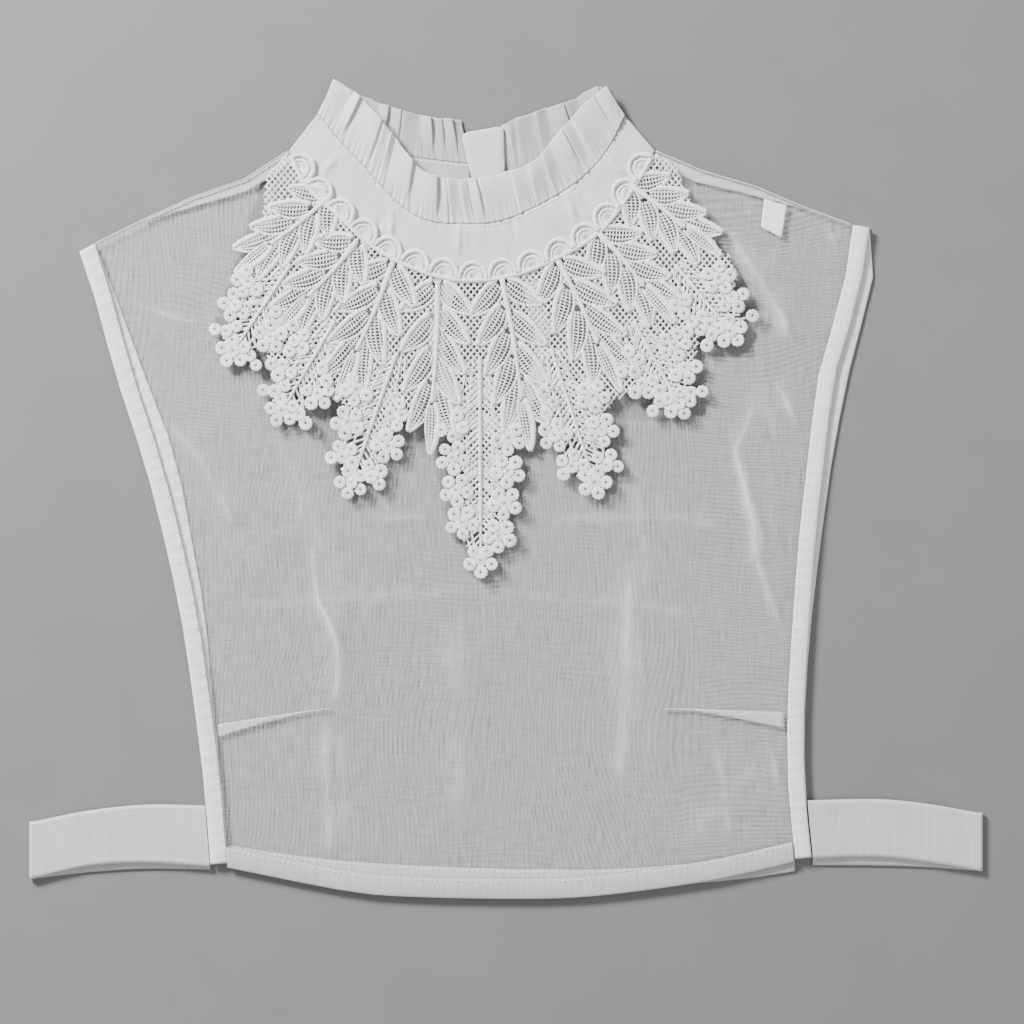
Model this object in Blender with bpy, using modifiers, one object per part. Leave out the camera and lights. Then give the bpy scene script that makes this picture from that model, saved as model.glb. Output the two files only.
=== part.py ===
"""A false collar laid flat: two sheer panels, a gathered stand collar and a lace appliqué.

The front faces up (+Z), the neck points to +Y, and the underside rests on Z = 0.
All tables and constants are in millimetres.
"""
import math

import bmesh
import bpy
import numpy as np
from mathutils.geometry import delaunay_2d_cdt

# Walls and gaps
MM = 0.001
PANEL_WALL = 1.0
BAND_WALL = 1.2
BINDING_WALL = 1.5
RUFFLE_WALL = 1.0
INSIDE_WALL = 0.8
GAP = 0.3
SEAM = 0.4

# Heights of the layers' undersides
BACK_LEVEL = 0.0
INSIDE_LEVEL = BACK_LEVEL + PANEL_WALL + GAP
FRONT_LEVEL = INSIDE_LEVEL + INSIDE_WALL + GAP
LACE_LEVEL = FRONT_LEVEL + BAND_WALL + GAP

# Widths of the sewn strips
BINDING_WIDTH = 8.0
HEM_WIDTH = 10.0
ALLOWANCE_WIDTH = 6.6
DROP_BINDING_WIDTH = 8.0
BINDING_CROWN = 0.3

# Steps along and across the pieces
PANEL_ROWS = 13
SHOULDER_COLUMNS = 5
FRONT_NECK_COLUMNS = 21
BACK_NECK_COLUMNS = 8
STRIP_STATIONS = 13
DROP_STATIONS = 19

# Armhole edges from the hem up: height, front panel's edge, back panel's edge
LEFT_SIDE = (
    (-187.5, -148.0, -147.6),
    (-145.5, -151.5, -151.1),
    (-105.5, -156.5, -155.5),
    (-65.5, -162.5, -159.0),
    (-25.5, -171.0, -166.0),
    (14.5, -181.5, -174.0),
    (54.5, -194.5, -189.0),
    (98.5, -206.7, -205.2),
    (118.5, -213.5, -213.5),
)
RIGHT_SIDE = (
    (-184.0, 152.0, 152.4),
    (-145.5, 148.5, 149.0),
    (-105.5, 148.5, 149.2),
    (-65.5, 151.0, 152.2),
    (-25.5, 154.0, 157.0),
    (14.5, 158.5, 162.6),
    (54.5, 163.5, 170.2),
    (86.0, 172.5, 178.2),
    (109.0, 178.0, 183.4),
    (130.5, 181.0, 181.4),
)

# Lower edges from left to right: across, up
FRONT_HEM = (
    (-148.0, -187.5), (-123.5, -192.5), (-93.5, -198.5), (-63.5, -203.0), (-3.5, -204.8),
    (41.5, -203.6), (97.0, -196.5), (135.5, -188.3), (152.0, -184.0),
)
BACK_HEM = (
    (-148.0, -187.0), (-93.5, -195.0), (-33.0, -199.0), (41.5, -200.4), (91.0, -197.6),
    (131.5, -193.5), (152.4, -189.5),
)

# Shoulder lines from the armhole to the neck: across, up
LEFT_SHOULDER = ((-213.5, 118.5), (-206.5, 122.2), (-160.0, 144.5), (-121.0, 158.5), (-109.6, 168.6))
RIGHT_SHOULDER = (
    (74.6, 168.6), (88.0, 160.5), (111.5, 156.0), (146.5, 141.5), (174.0, 131.5), (181.2, 130.5),
)

# Sections of the collar's front, from the left fold round to the right fold:
# foot of the stand, ruffle seam, ruffle's free edge, height of that edge's middle
COLLAR_FRONT = (
    ((-109.0, 169.0), (-94.5, 187.5), (-87.0, 204.6), 4.8),
    ((-100.0, 152.0), (-83.0, 173.5), (-74.0, 196.5), 6.4),
    ((-84.5, 137.5), (-69.0, 158.5), (-57.5, 178.0), 6.6),
    ((-67.0, 121.8), (-53.0, 141.5), (-44.5, 161.0), 6.4),
    ((-46.0, 110.5), (-39.0, 133.8), (-34.5, 156.0), 6.0),
    ((-24.0, 105.0), (-22.0, 132.4), (-18.5, 155.0), 6.0),
    ((-3.0, 106.0), (-5.0, 133.4), (-2.0, 158.0), 6.0),
    ((18.0, 112.5), (11.5, 139.5), (13.5, 163.5), 6.4),
    ((44.0, 127.0), (34.0, 152.5), (27.0, 179.5), 6.6),
    ((60.0, 146.0), (49.0, 167.5), (38.5, 191.5), 6.4),
    ((74.0, 169.0), (59.0, 186.5), (50.0, 201.4), 4.8),
)

# Sections of the collar's back, from each fold to the closure:
# foot of the stand, ruffle seam, ruffle's free edge, height of the gathers
COLLAR_BACK_LEFT = (
    ((-108.4, 168.2), (-94.5, 186.8), (-86.0, 202.0), 0.3),
    ((-90.0, 153.0), (-72.0, 173.0), (-67.0, 194.5), 0.4),
    ((-66.0, 144.0), (-50.5, 167.0), (-52.5, 189.5), 1.3),
    ((-42.0, 139.5), (-37.0, 164.6), (-40.0, 186.4), 1.8),
    ((-18.6, 137.5), (-18.4, 162.5), (-23.4, 184.8), 1.6),
)
COLLAR_BACK_RIGHT = (
    ((-2.2, 134.8), (-2.2, 158.7), (-2.4, 182.2), 1.6),
    ((14.0, 137.5), (12.0, 161.0), (15.0, 189.0), 1.8),
    ((36.0, 144.5), (31.0, 168.5), (33.5, 195.0), 1.2),
    ((56.0, 155.5), (47.0, 177.5), (43.0, 200.8), 0.4),
    ((73.4, 168.2), (59.0, 185.8), (50.5, 200.4), 0.3),
)
STAND_ROWS = ((0.0, 0.0), (0.5, 0.0), (1.0, 0.6))
STAND_FADE = 0.12
STAND_END_LEVEL = BACK_LEVEL + BAND_WALL + GAP
RUFFLE_SEAM_LEVEL = FRONT_LEVEL + BAND_WALL + STAND_ROWS[-1][1]
BACK_RUFFLE_LEVEL = 1.1
RUFFLE_ROWS = (0.0, 0.4, 1.0)
RUFFLE_OPENING = 0.8
SWELL = 0.25
SWELL_RATE = 0.37
BACK_RUFFLE_LIFT = 0.9
SEAM_GATHER = 0.4
FRONT_GATHER = 1.8
FRONT_GATHERS = 24
BACK_LEFT_GATHERS = 9
BACK_RIGHT_GATHERS = 8
STEPS_PER_GATHER = 6

# Closure lap: its four corners from the lower left, the third one rounded
LAP_CORNERS = ((-12.8, 139.5), (-3.0, 139.5), (-3.4, 181.2), (-21.4, 177.6))
LAP_ROUNDING = 4.5
LAP_LEVEL = BACK_LEVEL + BAND_WALL + GAP

# Drop-shaped openings from the neck down: height, half width
DROP_CENTRE = -8.5
FRONT_DROP = (
    (102.0, 16.0), (90.0, 19.5), (74.0, 22.8), (58.0, 20.5), (46.0, 14.0), (38.5, 6.5), (36.0, 0.0),
)
BACK_DROP = (
    (131.0, 3.0), (124.0, 5.0), (112.0, 12.0), (96.0, 19.0), (76.0, 22.6), (56.0, 19.0), (42.0, 10.0),
    (36.0, 4.5), (34.0, 0.0),
)

# Margins of the shapes that cut the panels back to the openings
CUTTER_REACH = 40.0
CUTTER_MARGIN = 2.0
CUTTER_DEPTH = 9.0

# Shoulder seams: where each begins and ends, across
SHOULDER_SEAMS = (
    ("left", LEFT_SHOULDER, -201.0, -113.5),
    ("right", RIGHT_SHOULDER, 78.5, 169.0),
)

# Bust darts: mouth at the armhole, upper and lower corner, then the point
DARTS = (
    ("left", (-144.6, -117.6), (-144.0, -124.2), (-87.5, -109.0)),
    ("right", (138.6, -111.6), (138.6, -119.8), (78.5, -109.4)),
)

DART_CURVE = 1.4
DART_STEPS = 6
DART_POINT = (0.06, 0.12)

# Bare tab below the right shoulder seam: its four corners
TAB = ((128.2, 141.0), (139.4, 136.4), (137.8, 125.6), (127.0, 131.0))

# Side elastics from the panel out to the fold: across, upper edge, lower edge, lower layer's drop
LEFT_ELASTIC = (
    (-151.2, -158.2, -189.0, 1.4),
    (-180.0, -157.8, -187.0, 3.0),
    (-208.0, -160.6, -188.4, 3.2),
    (-237.6, -166.4, -195.0, 0.0),
)
RIGHT_ELASTIC = (
    (152.9, -155.6, -184.8, 3.4),
    (185.0, -155.0, -184.0, 4.4),
    (210.0, -157.4, -186.6, 2.6),
    (236.6, -162.0, -191.0, 0.0),
)
ELASTIC_WALL = 1.2
ELASTIC_BEND = 0.95
BEND_STEPS = 6

# Soft folds lying in the front panel: start, end, half width, height
FOLDS = (
    ((140.0, 108.0), (152.0, 40.0), 16.0, 1.6),
    ((122.0, 24.0), (140.0, -60.0), 18.0, 1.8),
    ((-148.0, 30.0), (-122.0, -40.0), 18.0, 1.4),
    ((-84.0, -50.0), (-86.0, -108.0), 14.0, 1.6),
    ((70.0, -22.0), (120.0, -18.0), 14.0, 0.9),
    ((60.0, -60.0), (76.0, -178.0), 18.0, 1.3),
    ((-20.0, -90.0), (-34.0, -180.0), 20.0, 1.2),
    ((-112.0, -130.0), (-70.0, -182.0), 16.0, 1.2),
)
FOLD_FADE = 0.12
LACE_CLEARANCE = 24.0

# Lace: heights above the net
NET_WALL = 1.0
LEAF_RISE = 0.9
BERRY_RISE = 0.7
STEM_RISE = 1.0
SCALLOP_RISE = 0.8

# Leaves: place along the leaf and share of its width, then the rib's places
LEAF_PROFILE = ((0.0, 0.12), (0.3, 0.48), (0.68, 0.44), (1.0, 0.06))
LEAF_RIB = (0.16, 0.5, 0.82)
SIDE_LEAF_SCALE = 0.92
SIDE_LEAF_ANGLE = 42.0
SIDE_LEAF_CLOSING = 5.0
SIDE_LEAF_FOOT = 1.4
SIDE_LEAF_START = 0.35
SIDE_LEAF_SPACING = 0.6
STEM_WIDTH = 2.4
STEM_END = 0.5

# Leaf sprigs: root, end of the stem, leaves on the left, leaves on the right, leaf length, leaf width
SPRIGS = (
    ("outer_left", (-88.5, 146.0), (-136.0, 108.0), 4, 4, 23.0, 6.4),
    ("upper_left", (-75.0, 123.5), (-115.5, 78.0), 4, 4, 24.0, 6.6),
    ("lower_left", (-57.0, 113.0), (-85.5, 44.0), 4, 4, 27.0, 6.8),
    ("inner_left", (-34.5, 104.0), (-38.5, 17.0), 4, 5, 26.0, 7.0),
    ("inner_right", (-2.5, 105.0), (11.5, 19.0), 5, 4, 26.0, 7.0),
    ("lower_right", (25.5, 114.0), (57.0, 48.0), 4, 4, 27.0, 6.8),
    ("upper_right", (46.0, 127.5), (84.0, 82.5), 4, 4, 24.0, 6.6),
    ("outer_right", (61.0, 152.0), (107.0, 116.0), 4, 4, 23.0, 6.4),
)

# Berry sprays: root, point, half width, pairs of clusters
SPRAYS = (
    ("outer_left", (-108.0, 112.0), (-141.5, 61.5), 15.5, 3),
    ("upper_left", (-86.0, 84.0), (-116.5, 31.5), 15.0, 3),
    ("lower_left", (-55.0, 68.0), (-80.5, -5.0), 15.5, 3),
    ("centre", (-13.5, 66.0), (-13.0, -44.5), 17.5, 4),
    ("lower_right", (22.0, 70.0), (46.5, -5.0), 15.5, 3),
    ("upper_right", (63.0, 84.0), (90.0, 35.0), 15.0, 3),
    ("outer_right", (84.0, 112.0), (117.0, 72.0), 15.5, 3),
)
CLUSTER_BERRIES = 5
CLUSTER_RADIUS = 6.4
CLUSTER_HOLLOW = 0.8
BERRY_PLACE = 5.9
BERRY_RADIUS = 3.3
BERRY_ANGLES = (-42, 42)
SPRAY_STEM_WIDTH = 2.6
SPRAY_ROOT_WIDTH = 6.0
FIRST_CLUSTER = 0.34
CLUSTER_SPAN = 0.44
CLUSTER_SHIFT = 0.03
CLUSTER_TILT = 24.0
SPRAY_FILL = 0.82
SPRAY_TAPER = 0.35

# Net that joins the sprigs and sprays: its outline, left to right along the foot, then back
NET_OUTLINE = (
    (-109.0, 168.0), (-101.0, 153.5), (-85.5, 139.0), (-68.0, 123.4), (-47.0, 112.2), (-24.5, 106.6),
    (-3.0, 107.6), (18.5, 114.2), (43.0, 128.6), (59.0, 147.4), (73.0, 168.0),
    (86.0, 161.0), (90.0, 147.0), (98.5, 136.5), (99.5, 126.0), (112.0, 116.0), (116.0, 106.0),
    (106.0, 84.0), (96.0, 74.0), (94.0, 60.0), (80.0, 48.0), (62.0, 48.0), (55.0, 44.0), (48.0, 36.0),
    (46.0, 16.0), (34.0, 24.0), (22.0, 34.0), (10.0, 36.0), (-2.0, 22.0), (-6.0, -22.0), (-19.0, -22.0),
    (-24.0, 22.0), (-36.0, 34.0), (-50.0, 34.0), (-66.0, 16.0), (-78.0, 34.0), (-84.0, 44.0),
    (-98.0, 44.0), (-118.0, 62.0), (-124.0, 78.0), (-134.0, 92.0), (-136.0, 104.0), (-127.0, 120.0),
    (-123.0, 134.0), (-120.6, 157.0),
)

# Gaps beside the stems of the sprays
HOLE_PROFILE = ((0.0, 0.1), (0.5, 0.5), (1.0, 0.1))
HOLE_LENGTH = 7.0
HOLE_WIDTH = 4.4
HOLE_ASIDE = 1.9
HOLE_TILT = 24.0
FIRST_HOLE = 0.08
HOLE_SPACING = 0.16
SPRAY_HOLES = 3
POINT_MERGE = 0.02
MEND_ROUNDS = 4
MEND_AREA = 12.0

# Scallop row along the foot of the stand
SCALLOPS = 15
SCALLOP_HEIGHT = 9.0
SCALLOP_STEPS = 7
SCALLOP_OVERLAP = -1.0
SCALLOP_RIDGE = 0.74

# Finishes: red, green, blue, roughness
FINISHES = {
    "chiffon": (0.86, 0.86, 0.88, 0.75),
    "binding": (0.93, 0.92, 0.92, 0.70),
    "collar_cloth": (0.92, 0.92, 0.93, 0.72),
    "elastic": (0.94, 0.94, 0.94, 0.65),
    "lace_thread": (0.95, 0.94, 0.94, 0.60),
    "bare_tab": (0.96, 0.96, 0.97, 0.45),
}
CURVE_STEPS = 12


# Lines in the plan
def even_points(points, count):
    """Return count points spaced evenly along a line of points."""
    points = np.asarray(points, float)
    lengths = np.linalg.norm(np.diff(points, axis=0), axis=1)
    along = np.concatenate([[0.0], np.cumsum(lengths)])
    places = np.linspace(0.0, along[-1], count)
    return np.stack([np.interp(places, along, column) for column in points.T], axis=1)


def smooth_line(points, count=None):
    """Run a smooth line through the points, spaced evenly if a count is given."""
    points = np.asarray(points, float)
    first = 2 * points[0] - points[1]
    last = 2 * points[-1] - points[-2]
    padded = np.vstack([first, points, last])
    line = []
    for i in range(len(points) - 1):
        before, start, end, after = padded[i:i + 4]
        for t in np.linspace(0.0, 1.0, CURVE_STEPS, endpoint=False):
            bend = (2 * before - 5 * start + 4 * end - after) * t ** 2
            twist = (3 * start - before - 3 * end + after) * t ** 3
            line.append(0.5 * (2 * start + (end - before) * t + bend + twist))
    line.append(points[-1])
    line = np.array(line)
    return line if count is None else even_points(line, count)


def offset_line(line, distance):
    """Move a plan line sideways, to its left if the distance is positive."""
    line = np.asarray(line, float)
    along = np.gradient(line[:, :2], axis=0)
    along /= np.linalg.norm(along, axis=1)[:, None]
    side = np.stack([-along[:, 1], along[:, 0]], axis=1)
    return line[:, :2] + side * distance


def height_at(line, x):
    """Return the height of a line that runs across, at x."""
    order = np.argsort(line[:, 0])
    return float(np.interp(x, line[order, 0], line[order, 1]))


def cut_line(line, low, high):
    """Keep the stretch of a rising line between two heights."""
    heights = line[:, 1]
    inside = line[(heights > low) & (heights < high)]
    start = [np.interp(low, heights, line[:, 0]), low]
    end = [np.interp(high, heights, line[:, 0]), high]
    return np.vstack([start, inside, end])


# Meshes and objects
def finish(name):
    """Return the material of that name, making it the first time."""
    material = bpy.data.materials.get(name)
    if material is None:
        red, green, blue, roughness = FINISHES[name]
        material = bpy.data.materials.new(name)
        material.use_nodes = True
        shader = material.node_tree.nodes["Principled BSDF"]
        shader.inputs["Base Color"].default_value = (red, green, blue, 1.0)
        shader.inputs["Roughness"].default_value = roughness
        shader.inputs["Metallic"].default_value = 0.0
    return material


def add_object(name, bm, material, collection):
    """Turn a bmesh into an object in its collection."""
    mesh = bpy.data.meshes.new(name)
    bm.to_mesh(mesh)
    bm.free()
    mesh.materials.append(finish(material))
    obj = bpy.data.objects.new(name, mesh)
    collection.objects.link(obj)
    return obj


def add_cloth(name, grid, wall, material, collection, offset=1.0):
    """Make a wall of cloth on a grid of points, rows by columns, given in millimetres."""
    grid = np.asarray(grid, float) * MM
    rows, columns = grid.shape[:2]
    bm = bmesh.new()
    verts = [[bm.verts.new(point) for point in row] for row in grid]
    for r in range(rows - 1):
        for c in range(columns - 1):
            bm.faces.new((verts[r][c], verts[r][c + 1], verts[r + 1][c + 1], verts[r + 1][c]))
    bm.normal_update()
    if sum(face.normal.z * face.calc_area() for face in bm.faces) < 0.0:
        bmesh.ops.reverse_faces(bm, faces=bm.faces)
    obj = add_object(name, bm, material, collection)
    solidify = obj.modifiers.new("wall", 'SOLIDIFY')
    solidify.thickness = wall * MM
    solidify.offset = offset
    return obj


def add_plate(name, outline, level, wall, material, collection):
    """Make a flat plate on an outline, with its underside at the level."""
    bm = bmesh.new()
    verts = [bm.verts.new((x * MM, y * MM, level * MM)) for x, y in outline]
    face = bm.faces.new(verts)
    bm.normal_update()
    if face.normal.z < 0.0:
        bmesh.ops.reverse_faces(bm, faces=bm.faces)
    obj = add_object(name, bm, material, collection)
    solidify = obj.modifiers.new("wall", 'SOLIDIFY')
    solidify.thickness = wall * MM
    solidify.offset = 1.0
    return obj


def cut_with(obj, cutter):
    """Cut a shape out of an object."""
    boolean = obj.modifiers.new("opening", 'BOOLEAN')
    boolean.operation = 'DIFFERENCE'
    boolean.object = cutter


# The panels' plan
def side_line(rows, column):
    """Return one panel's armhole edge, from the hem up."""
    return smooth_line([(row[column], row[0]) for row in rows])


def collar_foot(sections, count):
    """Return the foot of the stand along the given sections."""
    return smooth_line([section[0] for section in sections], count)


def clip_side(inner, hem_inner, shoulder):
    """Keep an inner edge between the hem band and the shoulder line."""
    low = height_at(hem_inner, inner[0, 0])
    high = height_at(shoulder, inner[-1, 0])
    return even_points(cut_line(inner, low, high), PANEL_ROWS)


def panel_borders(left_side, right_side, hem, neck):
    """Return the panel's own left, right, top and bottom borders, inside its bound edges."""
    reach = BINDING_WIDTH + SEAM
    hem_inner = offset_line(hem, HEM_WIDTH + SEAM)
    left_shoulder = smooth_line(LEFT_SHOULDER)
    right_shoulder = smooth_line(RIGHT_SHOULDER)
    left = clip_side(offset_line(left_side, -reach), hem_inner, left_shoulder)
    right = clip_side(offset_line(right_side, reach), hem_inner, right_shoulder)
    start = left_shoulder[(left_shoulder[:, 0] > left[-1, 0]) & (left_shoulder[:, 0] < neck[0, 0])]
    end = right_shoulder[(right_shoulder[:, 0] > neck[-1, 0]) & (right_shoulder[:, 0] < right[-1, 0])]
    top_left = even_points(np.vstack([left[-1], start, neck[0]]), SHOULDER_COLUMNS)
    top_right = even_points(np.vstack([neck[-1], end, right[-1]]), SHOULDER_COLUMNS)
    top = np.vstack([top_left[:-1], neck, top_right[1:]])
    across = (top[:, 0] - top[0, 0]) / (top[-1, 0] - top[0, 0])
    bottom_x = left[0, 0] + across * (right[0, 0] - left[0, 0])
    bottom = np.array([(x, height_at(hem_inner, x)) for x in bottom_x])
    return left, right, top, bottom, across


def panel_grid(borders, level_at):
    """Fill the panel's outline with a grid of points, and lift them to their level."""
    left, right, top, bottom, across = borders
    grid = np.zeros((PANEL_ROWS, len(top), 3))
    for r in range(PANEL_ROWS):
        v = r / (PANEL_ROWS - 1)
        for c, u in enumerate(across):
            sides = (1 - u) * left[r] + u * right[r]
            ends = (1 - v) * bottom[c] + v * top[c]
            low = (1 - u) * left[0] + u * right[0]
            high = (1 - u) * left[-1] + u * right[-1]
            x, y = sides + ends - (1 - v) * low - v * high
            grid[r, c] = x, y, level_at(x, y, u, v)
    return grid


def fade(t):
    """Rise softly from 0 at an edge to 1 inside."""
    t = min(max(t, 0.0), 1.0)
    return t * t * (3 - 2 * t)


def fold_height(x, y):
    """Return the height of the soft folds over a point of the front panel."""
    height = 0.0
    for start, end, half_width, rise in FOLDS:
        start = np.array(start)
        way = np.array(end) - start
        length = np.linalg.norm(way)
        offset = np.array((x, y)) - start
        along = float(offset @ way) / length
        aside = abs(float(way[0] * offset[1] - way[1] * offset[0])) / length
        beyond = max(-along, along - length, 0.0)
        distance = math.hypot(aside, beyond) / half_width
        if distance < 1.0:
            height += rise * 0.5 * (1 + math.cos(math.pi * distance))
    return height


def lace_distance(x, y):
    """Return the distance from the lace's sprays and sprigs to a point of the front panel."""
    nearest = math.inf
    place = np.array((x, y))
    stems = [(root, point, half) for _, root, point, half, _ in SPRAYS]
    stems += [(root, end, length / 2) for _, root, end, _, _, length, _ in SPRIGS]
    for root, end, half in stems:
        root = np.array(root)
        way = np.array(end) - root
        t = min(max(float((place - root) @ way) / float(way @ way), 0.0), 1.0)
        nearest = min(nearest, float(np.linalg.norm(place - root - way * t)) - half)
    return nearest


def front_level(x, y, u, v):
    """Return the front panel's underside: flat at its seams and below the lace, folded elsewhere."""
    edge = min(u, 1 - u, v, 1 - v) / FOLD_FADE
    clear = lace_distance(x, y) / LACE_CLEARANCE - 1.0
    return FRONT_LEVEL + fade(edge) * fade(clear) * fold_height(x, y)


def back_level(x, y, u, v):
    """Return the back panel's underside, which rests flat."""
    return BACK_LEVEL


# Strips along the panels' edges
def add_strip(name, outer, inner, level, wall, material, collection, crown=0.0):
    """Make a strip of folded cloth between two lines, with a crown along its middle."""
    outer = np.asarray(outer, float)
    inner = np.asarray(inner, float)
    rows = []
    for line, lift in ((outer, 0.0), ((outer + inner) / 2, crown), (inner, 0.0)):
        rows.append(np.column_stack([line, np.full(len(line), level + lift)]))
    return add_cloth(name, np.array(rows), wall, material, collection)


def binding_lines(side, border, sign):
    """Return the two edges of an armhole binding, a seam's gap away from the panel's border."""
    foot = offset_line(side, sign * BINDING_WIDTH)[:1]
    inner = np.vstack([foot, offset_line(border, -sign * SEAM)])
    return even_points(side, len(inner)), inner


def hem_lines(hem, bottom, left_side, right_side):
    """Return the two edges of a hem band, a seam's gap away from the panel and the bindings."""
    inner = offset_line(bottom, -SEAM)
    outer = np.array([(x, height_at(hem, x)) for x in bottom[:, 0]])
    for end, side, sign in ((0, left_side, -1), (-1, right_side, 1)):
        foot_x = offset_line(side, sign * (BINDING_WIDTH + SEAM))[0, 0]
        outer[end] = foot_x, height_at(hem, foot_x)
    return outer, inner


def build_panel(layer, column, hem_points, neck, level, level_at, drop, collection, cutters):
    """Build one panel with its bindings, hem and drop-shaped opening."""
    hem = smooth_line(hem_points)
    left_side = side_line(LEFT_SIDE, column)
    right_side = side_line(RIGHT_SIDE, column)
    borders = panel_borders(left_side, right_side, hem, neck)
    left, right, _, bottom, _ = borders
    panel = add_cloth(f"{layer}_panel", panel_grid(borders, level_at), PANEL_WALL, "chiffon", collection)
    for name, side, border, sign in (("left", left_side, left, -1), ("right", right_side, right, 1)):
        outer, inner = binding_lines(side, border, sign)
        add_strip(f"{layer}_binding_{name}", outer, inner, level, BINDING_WALL, "binding", collection,
                  BINDING_CROWN)
    outer, inner = hem_lines(hem, bottom, left_side, right_side)
    add_strip(f"{layer}_hem", outer, inner, level, BINDING_WALL, "binding", collection)
    build_drop(layer, drop, level, panel, collection, cutters)


def build_drop(layer, drop, level, panel, collection, cutters):
    """Bind the drop-shaped opening, and cut the panel back to the binding."""
    left = [(DROP_CENTRE - half, y) for y, half in drop]
    right = [(DROP_CENTRE + half, y) for y, half in reversed(drop[:-1])]
    edge = smooth_line(left + right, DROP_STATIONS)
    outer = offset_line(edge, -DROP_BINDING_WIDTH)
    add_strip(f"{layer}_drop_binding", edge, outer, level, BAND_WALL, "binding", collection)
    cut = offset_line(edge, -DROP_BINDING_WIDTH - SEAM)
    above = np.array([(x, y + CUTTER_REACH) for x, y in (cut[-1], cut[0])])
    cutter = add_plate(f"{layer}_drop", np.vstack([cut, above]), level - CUTTER_MARGIN, CUTTER_DEPTH,
                       "binding", cutters)
    cutter.hide_render = True
    cutter.display_type = 'WIRE'
    cut_with(panel, cutter)


# Pieces between the panels
def build_inside_pieces(collection):
    """Build the shoulder seams, the dart intakes and the bare tab."""
    for side, shoulder, low, high in SHOULDER_SEAMS:
        line = smooth_line(shoulder)
        line = even_points(line[(line[:, 0] > low) & (line[:, 0] < high)], STRIP_STATIONS)
        upper = offset_line(line, -SEAM)
        lower = offset_line(line, -SEAM - ALLOWANCE_WIDTH)
        add_strip(f"shoulder_seam_{side}", upper, lower, INSIDE_LEVEL, INSIDE_WALL, "chiffon", collection)
    for side, upper, lower, point in DARTS:
        outline = dart_outline(np.array(upper), np.array(lower), np.array(point))
        add_plate(f"dart_{side}", outline, INSIDE_LEVEL, INSIDE_WALL, "chiffon", collection)
    add_plate("seam_tab", TAB, INSIDE_LEVEL, INSIDE_WALL, "bare_tab", collection)


def dart_outline(upper, lower, point):
    """Return a dart's intake: a long wedge whose lower edge curves in to the point."""
    steps = np.linspace(0.0, 1.0, DART_STEPS)
    top = [upper + (point - upper) * t for t in steps[:-1]]
    below = lower - upper
    bottom = [upper + (point - upper) * t + below * (1 - t) ** DART_CURVE for t in steps[:-1]]
    tip = [point + below * share for share in DART_POINT]
    return np.array(top + tip + bottom[::-1])


# The side elastics
def build_elastic(name, rows, collection):
    """Build one elastic: out from the back panel, round the fold, and back on top."""
    outward = 1.0 if rows[-1][0] > rows[0][0] else -1.0
    low = BACK_LEVEL + ELASTIC_WALL / 2
    high = low + 2 * ELASTIC_BEND
    stations = smooth_line([(x, top, bottom, drop) for x, top, bottom, drop in rows], STRIP_STATIONS)
    grid = []
    for x, top, bottom, drop in stations:
        grid.append(elastic_section(x, top - drop, bottom - drop, low))
    fold_x, fold_top, fold_bottom, _ = stations[-1]
    for step in range(1, BEND_STEPS):
        angle = math.pi * step / BEND_STEPS
        x = fold_x + outward * ELASTIC_BEND * math.sin(angle)
        z = low + ELASTIC_BEND * (1 - math.cos(angle))
        grid.append(elastic_section(x, fold_top, fold_bottom, z))
    for x, top, bottom, _ in stations[::-1]:
        grid.append(elastic_section(x, top, bottom, high))
    add_cloth(name, np.array(grid), ELASTIC_WALL, "elastic", collection, offset=0.0)


def elastic_section(x, top, bottom, z):
    """Return the points across the elastic at one place along it."""
    return [(x, y, z) for y in (top, (top + bottom) / 2, bottom)]


# The collar
def section_lines(sections, count):
    """Return smooth lines along the foot, the seam, the free edge and the last column."""
    foot = smooth_line([section[0] for section in sections], count)
    seam = smooth_line([section[1] for section in sections], count)
    edge = smooth_line([section[2] for section in sections], count)
    last = smooth_line([(section[3],) for section in sections], count)[:, 0]
    return foot, seam, edge, last


def build_stand(name, sections, front, collection):
    """Build one stretch of the stand, from its foot to the ruffle seam."""
    count = FRONT_NECK_COLUMNS if front else BACK_NECK_COLUMNS
    foot, seam, _, _ = section_lines(sections, count)
    grid = []
    for row, rise in STAND_ROWS:
        line = []
        for i, (low, high) in enumerate(zip(foot, seam)):
            x, y = low + (high - low) * row
            end = min(i, count - 1 - i) / (STAND_FADE * count)
            level = BACK_LEVEL
            if front:
                level = STAND_END_LEVEL + (FRONT_LEVEL + rise - STAND_END_LEVEL) * fade(end)
            line.append((x, y, level))
        grid.append(line)
    add_cloth(name, np.array(grid), BAND_WALL, "collar_cloth", collection)


def build_ruffle(name, sections, gathers, front, collection):
    """Build one stretch of the ruffle, gathered small at its seam and wavy at its edge."""
    count = gathers * STEPS_PER_GATHER + 1
    _, seam, edge, last = section_lines(sections, count)
    grid = []
    for row in RUFFLE_ROWS:
        line = []
        for i in range(count):
            start = seam[i] + (edge[i] - seam[i]) * SEAM / np.linalg.norm(edge[i] - seam[i])
            x, y = start + (edge[i] - start) * row
            turn = 2 * math.pi * i / STEPS_PER_GATHER
            swell = 1.0 + SWELL * math.sin(turn * SWELL_RATE + 1.0)
            top = FRONT_GATHER * fade(min(i, count - 1 - i) / STEPS_PER_GATHER) if front else last[i]
            gather = (SEAM_GATHER + (top - SEAM_GATHER) * row ** RUFFLE_OPENING) * RUFFLE_OPENING
            middle = RUFFLE_SEAM_LEVEL if front else BACK_RUFFLE_LEVEL
            lift = last[i] - RUFFLE_SEAM_LEVEL if front else last[i] * BACK_RUFFLE_LIFT
            line.append((x, y, middle + lift * row + gather * swell * math.sin(turn)))
        grid.append(line)
    add_cloth(name, np.array(grid), RUFFLE_WALL, "collar_cloth", collection, offset=0.0)


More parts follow.
